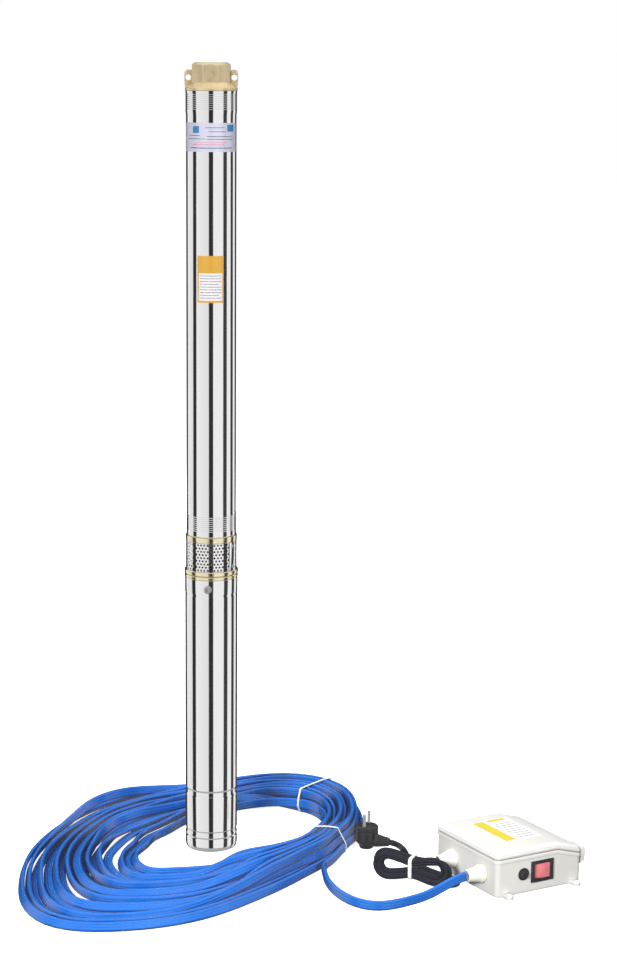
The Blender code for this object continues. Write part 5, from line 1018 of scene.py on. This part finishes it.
def stacked(levels):
    """A closed shell through levels of (grow, height above the floor, or above the seam in a tuple)."""
    shape = bmesh.new()
    loops = []
    for grow, height in levels:
        loop = []
        for x, y in box_plan(grow):
            fall = SEAM - SEAM_DROP * max(0.0, x - BOX_BEND) / (BOX_LENGTH - BOX_BEND)
            z = fall + height[0] if isinstance(height, tuple) else height
            loop.append(shape.verts.new((x, y, z)))
        loops.append(loop)
    walls(shape, *loops)
    for loop, (_, height) in ((loops[0], levels[0]), (loops[-1], levels[-1])):
        if isinstance(height, tuple):
            shape.faces.new([v for v in loop if v.co.x <= BOX_BEND + 0.01])
            shape.faces.new([v for v in loop if v.co.x >= BOX_BEND - 0.01])
        else:
            shape.faces.new(loop)
    return shape


def box_tray():
    """The box's tray, with holes for the switch, the reset button and the glands."""
    low = 0.35
    tray = [(-2.2, 0.0), (-1.0, 0.3), (-low, 1.2), (0, 3.0), (0, (-6.2,)), (0.1, (-5.6,)), (0.8, (-5.2,))]
    tray += [(1.0, (-4.6,)), (1.0, (-0.6,)), (0.6, (0,)), (-BOX_WALL, (0,)), (-BOX_WALL, BOX_WALL)]
    base = add_piece("box_tray", stacked(tray), BOX_SKIN, matrix=BOX, replaces=["box_base"])
    cutters = [block(61.3, -6, 91.7, 8, 16.6, 41.4)]
    cutters.append(moved(rod(7.9, -8, 8), Matrix.Translation(RESET) @ turned(90, "X")))
    for y, _ in GLANDS.values():
        cutters.append(moved(rod(9.3, -8, 8), Matrix.Translation((0, y, GLAND_HEIGHT)) @ turned(90, "Y")))
    carve(base, *(moved(shape, BOX) for shape in cutters))


def box_cover():
    """The lid, whose right part slopes down."""
    rim = 1.2 - BOX_WALL
    lid = [(rim, (7.0,)), (rim, (1.6,)), (0.9, (1.6,)), (1.2, (2.0,)), (1.2, (4.6,)), (0.5, (5.1,))]
    lid += [(0.4, (5.5,)), (0.4, (6.9,)), (0.1, (7.7,)), (-0.6, (8.5,)), (-2.2, (9.5,)), (-3.6, (10.2,))]
    lid += [(-5.4, (10.55,)), (-7.0, (10.6,))]
    add_piece("box_cover", stacked(lid), BOX_SKIN, matrix=BOX, replaces=["box_lid"])


def control_box():
    """The box with its ears and its catch, and the bare sheet on its lid."""
    box_tray()
    tip = 10.0
    outline = [(6, -1.8), *arc(6, 0, 180, 10, (0, tip)), (-6, -1.8)]
    hole = soften([(0, -2), (2.4, -2), (2.4, 4.6), (3.8, 5.6), (3.8, 9), (0, 9)], 0.3)
    for number, (x, y, way) in enumerate(EARS):
        place = BOX @ Matrix.Translation((x, y, 0)) @ turned(0 if way > 0 else 180, "Z")
        plate = rounded(prism_shape(outline, 0.3, 6.0), 0.9)
        ear = add_piece(f"box_ear_{number + 1}", plate, BOX_SKIN, matrix=place)
        carve(ear, moved(lathe_shape(hole, steps=32), place @ Matrix.Translation((0, tip, 0))))
    box_cover()
    half = CATCH_WIDTH / 2
    hook = [(1.5, 25), (9.2, 29.6), (9.5, 31), (9.5, 47.5), (8.6, 49.4), (7.0, 50), (1.5, 50)]
    place = BOX @ Matrix.Translation((BOX_LENGTH, CATCH_PLACE, 0)) @ turned(90, "X")
    shape = rounded(prism_shape(hook, -half, half), 0.8)
    catch = add_piece("cover_catch", shape, BOX_SKIN, matrix=place, replaces=["lid_catch"])
    carve(catch, moved(block(6.0, 34, 12, 43, 4 - half, half - 4), place))

    # The bare sheet on the lid, with its yellow band
    fields = [
        ("lid_sheet", WHITE, (42, 36, 102, 129, 0.05, 0.14)),
        ("lid_yellow_band", YELLOW, (43, 40, 60, 126, 0.2, 0.26)),
        ("lid_yellow_tab", YELLOW, (67, 119, 95, 127, 0.2, 0.26)),
    ]
    for number in range(8):
        left, y = 66 + 3 * (number % 3), 46 + 8.6 * number
        fields.append((f"lid_line_{number + 1}", INK, (left, y, 98, y + 1.2, 0.14, 0.2)))
    flat = BOX @ Matrix.Translation((0, 0, SEAM + 10.6))
    for name, finish, corners in fields:
        add_piece(name, block(*corners), finish, "box_plastic", matrix=flat)


def controls():
    """The rocker switch in its bezel, and the reset button in its ring."""
    face = BOX @ Matrix.Translation(SWITCH) @ turned(90, "X")
    bezel = rounded(centred_block(19, 15.5, 0.3, 2.5), 0.8)
    bezel = add_piece("switch_bezel", bezel, DARK, matrix=face, replaces=["switch_housing"])
    can = rounded(centred_block(14.8, 12, -22, 1.5), 0.6)
    can = add_piece("switch_can", can, DARK, matrix=face)
    lip = rounded(centred_block(16.6, 13.4, 2.4, 3.3), 0.35)
    lip = add_piece("switch_lip", lip, DARK, matrix=face)
    for item in (bezel, can):
        carve(item, moved(centred_block(13.5, 11, -11.3, 6), face))
    carve(lip, moved(centred_block(14.3, 11.6, 1, 6), face))
    pivot = BOX @ Matrix.Translation(SWITCH + Vector((0, 2.6, 0))) @ turned(-10, "Z")
    outline = [(-12.7, -3.0), (-9, -3.7), (-4.5, -4.6), (0, -5.0), (4.5, -4.6), (9, -3.7), (12.7, -3.0)]
    outline += [(8.8, 4.0), (0, 5), (-8.8, 4.0)]
    rocker = rounded(prism_shape(outline, -10.5, 10.5), 0.5)
    add_piece("rocker_cap", rocker, RED, body="rocker", matrix=pivot, replaces=["switch_rocker"])
    seat = BOX @ Matrix.Translation(RESET) @ turned(90, "X")
    ring = [(0, -4.0), (4.95, -4.0), (4.95, 2.9), (5.6, 2.9), (6.3, 2.2), (7.9, 2.2), (8.9, 1.7)]
    ring += [(9.0, 0.3), (7.6, 0.3), (7.6, -2.9), (12, -2.9), (12, -22.9), (0, -22.9)]
    cap = [(0, 5.7), (2.6, 5.75), (3.6, 6.1), (4.3, 5.7), (4.6, 5.0), (4.6, -0.9), (0, -0.9)]
    button = {"body": "reset", "replaces": ["reset_button"]}
    lathe("reset_ring", ring, DARK, steps=48, soft=0.35, matrix=seat, replaces=["breaker_body"])
    lathe("reset_cap", cap, DARK, steps=40, soft=0.4, matrix=seat, **button)


def glands():
    """The two tapered cable glands on the box's left face."""
    for name, (y, tip) in GLANDS.items():
        seat = BOX @ Matrix.Translation((0, y, GLAND_HEIGHT)) @ turned(-90, "Y")
        bore = tip - 1.1
        profile = [(0, 18), (bore - 0.4, 18), (bore, 27.0), (tip - 0.2, 27.0), (tip + 0.3, 25.6)]
        profile += [(tip + 0.9, 20), (11.3, 9.4), (12.6, 5.6), (13.5, 5.2), (13.5, 1.2), (13.1, 0.3)]
        profile += [(9, 0.3), (9, -8.6), (0, -8.6)]
        lathe(f"{name}_boot", profile, CREAM, steps=64, soft=0.5, matrix=seat, replaces=[name])


# The mains lead, its tied hank and its plug

HANK_CENTRE = Vector((292.0, -150.0, 0.0))
HANK_TURN = math.radians(-22)
HANK = Matrix.Translation(HANK_CENTRE) @ Matrix.Rotation(HANK_TURN, 4, "Z")
GLAND_ROUTE = ((328.6, -137.9, 26.5), (322.6, -141.4, 26.6), (316.4, -144.0, 27.4))
LEAD_RADIUS = 4.4
PLUG = Matrix.Translation((230.0, -8.0, 0.0)) @ Matrix.Rotation(HANK_TURN, 4, "Z")
TAIL_ROUTE = (
    (292.5, -129.6, 19.0), (287.4, -119.0, 19.0), (286.5, -106.0, 16.0), (287.0, -82.0, 11.0),
    (286.0, -56.0, 8.6), (281.0, -37.0, 10.0), (272.0, -25.8, 12.0), (262.0, -21.0, 13.0),
)
# The bow's three strands: their height at the tie and in the lobes, lanes and ends
HANK_HIGH = (9.9, 4.5, 9.9)
HANK_LOBE = (16.6, 11.2, 16.6)
HANK_LANES = (7.0, 0.0, -7.0)
HANK_ENDS_LEFT = (57.5, 47.5, 53.0)
HANK_ENDS_RIGHT = (54.0, 48.0)
HANK_MIDDLE = 21.2


def hank_route():
    """Points of the lead from its gland through the bow, in world millimetres."""
    local = [(13.0, 8.6, 29.6)]
    for turn in range(3):
        lane, high, lobe, end = HANK_LANES[turn], HANK_HIGH[turn], HANK_LOBE[turn], HANK_ENDS_LEFT[turn]
        centre, slope = end - lobe, (high + lobe) / 2
        strand = [(0, high), (-16, slope), (-centre, lobe), (-centre - lobe * 0.71, lobe * 0.71), (-end, 0)]
        strand += [(-centre - lobe * 0.71, -lobe * 0.71), (-centre, -lobe), (-16, -slope), (0, -high)]
        strand += [(16, -slope)]
        local += [(x, lane, HANK_MIDDLE + z) for x, z in strand]
        if turn == 2:
            break
        after, rise = HANK_LANES[turn + 1], HANK_LOBE[turn + 1]
        half, middle = (rise + lobe) / 2, HANK_MIDDLE + (rise - lobe) / 2
        out = HANK_ENDS_RIGHT[turn]
        local += [
            (out - half, lane, middle - half),
            (out - half * 0.29, lane * 0.85 + after * 0.15, middle - half * 0.71),
            (out, (lane + after) / 2, middle),
            (out - half * 0.29, lane * 0.15 + after * 0.85, middle + half * 0.71),
            (out - half, after, middle + half),
            (16, after, HANK_MIDDLE + (HANK_HIGH[turn + 1] + rise) / 2),
        ]
    local += [(30, -7.6, 4.8), (46, -9.4, 4.6), (60, -5.4, 4.6), (66, 4.0, 4.8), (61, 14.0, 5.2)]
    local += [(49, 18.6, 6.4), (33, 19.0, 8.8), (16, 18.0, 13.0)]
    return [*GLAND_ROUTE, *(HANK @ Vector(p) for p in local), *TAIL_ROUTE]


def mains_lead():
    """The mains lead from its gland through the tied hank to the plug, with the hank's tie."""
    points = relaxed(smooth_curve(hank_route(), 3.0))
    points[:, 2] = np.maximum(points[:, 2], LEAD_RADIUS + 0.1)
    verts, faces = sweep(points, carried_frame(points, (0.0, 0.0, 1.0)), arc(LEAD_RADIUS, 0, 360, 20)[:-1])
    lead = new_object("mains_cord", mesh_from("mains_cord", verts, faces))
    lead.data.materials.append(BLACK)
    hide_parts("mains_lead", "mains_hank", "plug_lead")
    pieces = plug()
    inverse = HANK.inverted()
    crossing = [inverse @ Vector(p) for p in points]
    spots = []
    for here, after in zip(crossing, crossing[1:]):
        if (here.x <= 0 < after.x or after.x <= 0 < here.x) and abs(here.y) < 12:
            spots.append((here.y, here.z))
    strap = strap_around(spots, LEAD_RADIUS, 5.0, 1.1)
    tie = add_piece(
        "hank_tie", strap, NYLON, "black_sheath", matrix=HANK @ turned(90, "Z") @ turned(90, "X")
    )


def carried_frame(points, start):
    """A direction across the path, carried along it without twist."""
    ahead = np.gradient(points, axis=0)
    ahead /= np.linalg.norm(ahead, axis=1)[:, None]
    across = np.array(start, float)
    rows = []
    for way in ahead:
        across = across - way * across.dot(way)
        across = across / np.linalg.norm(across)
        rows.append(across)
    return np.array(rows)


def hull(points):
    """The convex outline around flat points."""
    points = sorted(set((round(x, 4), round(y, 4)) for x, y in points))

    def side(rows):
        kept = []
        for p in rows:
            while len(kept) > 1:
                (ax, ay), (bx, by) = kept[-2], kept[-1]
                if (bx - ax) * (p[1] - ay) - (by - ay) * (p[0] - ax) > 0:
                    break
                kept.pop()
            kept.append(p)
        return kept[:-1]

    return side(points) + side(points[::-1])


def strap_around(centres, radius, width, thick):
    """A strap drawn tight around round strands, in the plane of their section."""
    cloud = []
    for centre in centres:
        cloud += arc(radius + 0.05, 0, 360, 24, centre)[:-1]
    inner = hull(cloud)
    outer = []
    for index, (x, y) in enumerate(inner):
        before, after = inner[index - 1], inner[(index + 1) % len(inner)]
        way = Vector((after[0] - before[0], after[1] - before[1])).normalized()
        outer.append((x + way.y * thick, y - way.x * thick))
    shape = bmesh.new()
    loops = []
    for points, z in ((inner, -width / 2), (outer, -width / 2), (outer, width / 2), (inner, width / 2)):
        loops.append([shape.verts.new((x, y, z)) for x, y in points])
    walls(shape, *loops, loops[0])
    return shape


def plug():
    """The angled plug with its strain relief and two pins."""
    body = [(0, 36), (7.4, 36), (8.0, 35.2), (13.2, 35.2), (15.9, 34.6), (17.5, 32.6), (17.5, 29.0)]
    body += [(17.0, 28.2), (17.0, 26.6), (17.5, 25.8), (17.5, 13.4), (16.4, 11.0), (12.0, 6.0), (10.0, 0.8)]
    body += [(9.2, 0), (0, 0)]
    cup = lathe("plug_cup", body, DARK, steps=72, soft=0.7, matrix=PLUG, replaces=["plug_body"])
    grip = [(0, 0), (9.5, 0), (9.6, 15.8), (9.2, 19.0)]
    for k in range(5):
        start, radius = 19.4 + 3.2 * k, 9.0 - 0.55 * k
        grip += [(radius, start), (radius, start + 1.9), (radius - 1.1, start + 2.1)]
        grip += [(radius - 1.1, start + 3.0)]
    grip += [(6.2, 35.6), (5.6, 36.2), (0, 36.2)]
    side_on = PLUG @ Matrix.Translation((0, 0, 13)) @ turned(90, "Y")
    made = [cup, lathe("plug_relief", grip, DARK, steps=48, soft=0.3, matrix=side_on)]
    pin = [(0, 54), (1.0, 53.9), (1.9, 53.0), (2.4, 51.6), (2.4, 30), (0, 30)]
    for name, side in (("near", -1), ("far", 1)):
        place = PLUG @ Matrix.Translation((0, side * 9.5, 0))
        node = f"plug_pin_{name}"
        made.append(lathe(f"plug_prong_{name}", pin, STEEL, steps=32, matrix=place, replaces=[node]))
    return made


# Floor and light

# Name, place, turn in degrees, size and power of each lamp
LAMPS = (
    ("key", (-1.1, -3.1, 1.45), (67, 0, -20), 0.7, 135),
    ("fill", (1.6, -2.4, 1.5), (60, 0, 30), 0.9, 46),
    ("top", (0.35, 0.1, 2.2), (0, 0, 0), 0.8, 21),
    ("back", (-0.5, 2.6, 1.6), (-62, 0, -10), 0.9, 60),
)
# Dark upright flags around the studio: from one azimuth to another, and how dark
DARK_BANDS = (
    (-180, -135, 0.05), (-90, -70, 0.03), (-9, 11, 0.03), (59, 79, 0.05), (102, 121, 0.05), (140, 180, 0.05)
)
ROOM_WHITE = 0.93
LOW_SHADE = 0.42
SOFT_LOW, SOFT_HIGH = 0.04, 0.34
CEILING = 0.82


def grey(level):
    """A neutral colour."""
    return (level, level, level, 1)


def bands_ramp(ramp):
    """Sets a colour ramp over the azimuth: white room, with a dark band for each flag."""
    stops = []
    for start, end, shade in DARK_BANDS:
        level = ROOM_WHITE * (0.88 if start in (-90, -9) else 1.0)
        stops += [(start - 1.2, level), (start + 1.2, shade), (end - 1.2, shade), (end + 1.2, ROOM_WHITE)]
    stops = sorted([(min(1, max(0, (a + 180) / 360)), v) for a, v in stops][1:-1])
    for _ in stops[2:]:
        ramp.elements.new(0.5)
    for element, (spot, value) in zip(ramp.elements, stops):
        element.position = spot
        element.color = (value, value * 0.985, value * 0.99, 1)


def studio():
    """A pale floor under a white room with dark upright flags, and four soft lamps."""
    ground = bmesh.new()
    bmesh.ops.create_grid(ground, x_segments=8, y_segments=8, size=14.0)
    mesh = bpy.data.meshes.new("studio_floor")
    ground.to_mesh(mesh)
    ground.free()
    mesh.materials.append(FLOOR)
    floor = bpy.data.objects.new("studio_floor", mesh)
    floor.location = (0, 4.0, -0.0006)
    floor.visible_diffuse = False
    floor.visible_glossy = False
    bpy.context.scene.collection.objects.link(floor)

    world = bpy.data.worlds.new("studio")
    bpy.context.scene.world = world
    world.use_nodes = True
    tree = world.node_tree
    parts = add_node(tree, "SeparateXYZ", {"Vector": add_node(tree, "TexCoord")["Generated"]})
    flip = add_node(tree, "Math", {0: parts["Y"], 1: -1}, operation="MULTIPLY")["Value"]
    angle = add_node(tree, "Math", {0: parts["X"], 1: flip}, operation="ARCTAN2")["Value"]
    bands = add_node(tree, "ValToRGB", {"Fac": ranged(tree, angle, -math.pi, math.pi)})["Color"]
    bands_ramp(bands.node.color_ramp)
    rays = add_node(tree, "LightPath")
    room = mixed(tree, ranged(tree, parts["Z"], 0.40, 0.62), bands, grey(CEILING))
    room = mixed(tree, ranged(tree, parts["Z"], -0.46, -0.62), room, grey(LOW_SHADE))
    soft = mixed(tree, ranged(tree, parts["Z"], -0.05, 0.9), grey(SOFT_LOW), grey(SOFT_HIGH))
    seen = mixed(tree, rays["Is Glossy Ray"], soft, room)
    seen = mixed(tree, rays["Is Camera Ray"], seen, grey(1.0))
    tree.links.new(seen, tree.nodes["Background"].inputs["Color"])
    bpy.context.scene.view_settings.view_transform = "Standard"

    for name, place, turn, size, power in LAMPS:
        lamp = bpy.data.lights.new(name, "AREA")
        lamp.size = size
        lamp.energy = power
        item = bpy.data.objects.new(name, lamp)
        item.location = place
        item.rotation_euler = [math.radians(a) for a in turn]
        item.visible_glossy = False
        bpy.context.scene.collection.objects.link(item)


def ties(coil, coil_wides):
    """Two white cable ties drawn around the whole coil."""
    for name, degrees in (("upper", 51.0), ("lower", -4.0)):
        number = round((COIL_START - degrees) / (360.0 / STATIONS)) % STATIONS
        angle = COIL_START - number * 360.0 / STATIONS
        out = Vector((math.cos(math.radians(angle)), math.sin(math.radians(angle)), 0))
        spots = []
        for point, wide in zip(coil[number::STATIONS], coil_wides[number::STATIONS]):
            for core in (-1, 0, 1):
                at = Vector(point) + Vector(wide) * core * CORE_SPACING - COIL_CENTRE
                spots.append((at.dot(out), at.z))
        axes = Matrix.Translation(COIL_CENTRE) @ turned(angle, "Z") @ turned(90, "X")
        shape = strap_around(spots, CORE_RADIUS + 0.4, 3.0, 0.9)
        add_piece(f"coil_tie_{name}", shape, NYLON, "box_plastic", matrix=axes)


camera()
studio()
dress_solids()
ties(*drop_cable())
motor()
intake()
casing()
outlet()
labels()
control_box()
controls()
glands()
mains_lead()

# Only the pump itself shows in its polished steel
for item in bpy.data.objects:
    if item.type == "MESH" and (item.matrix_world @ Vector(item.bound_box[0])).x > 0.2:
        item.visible_glossy = False
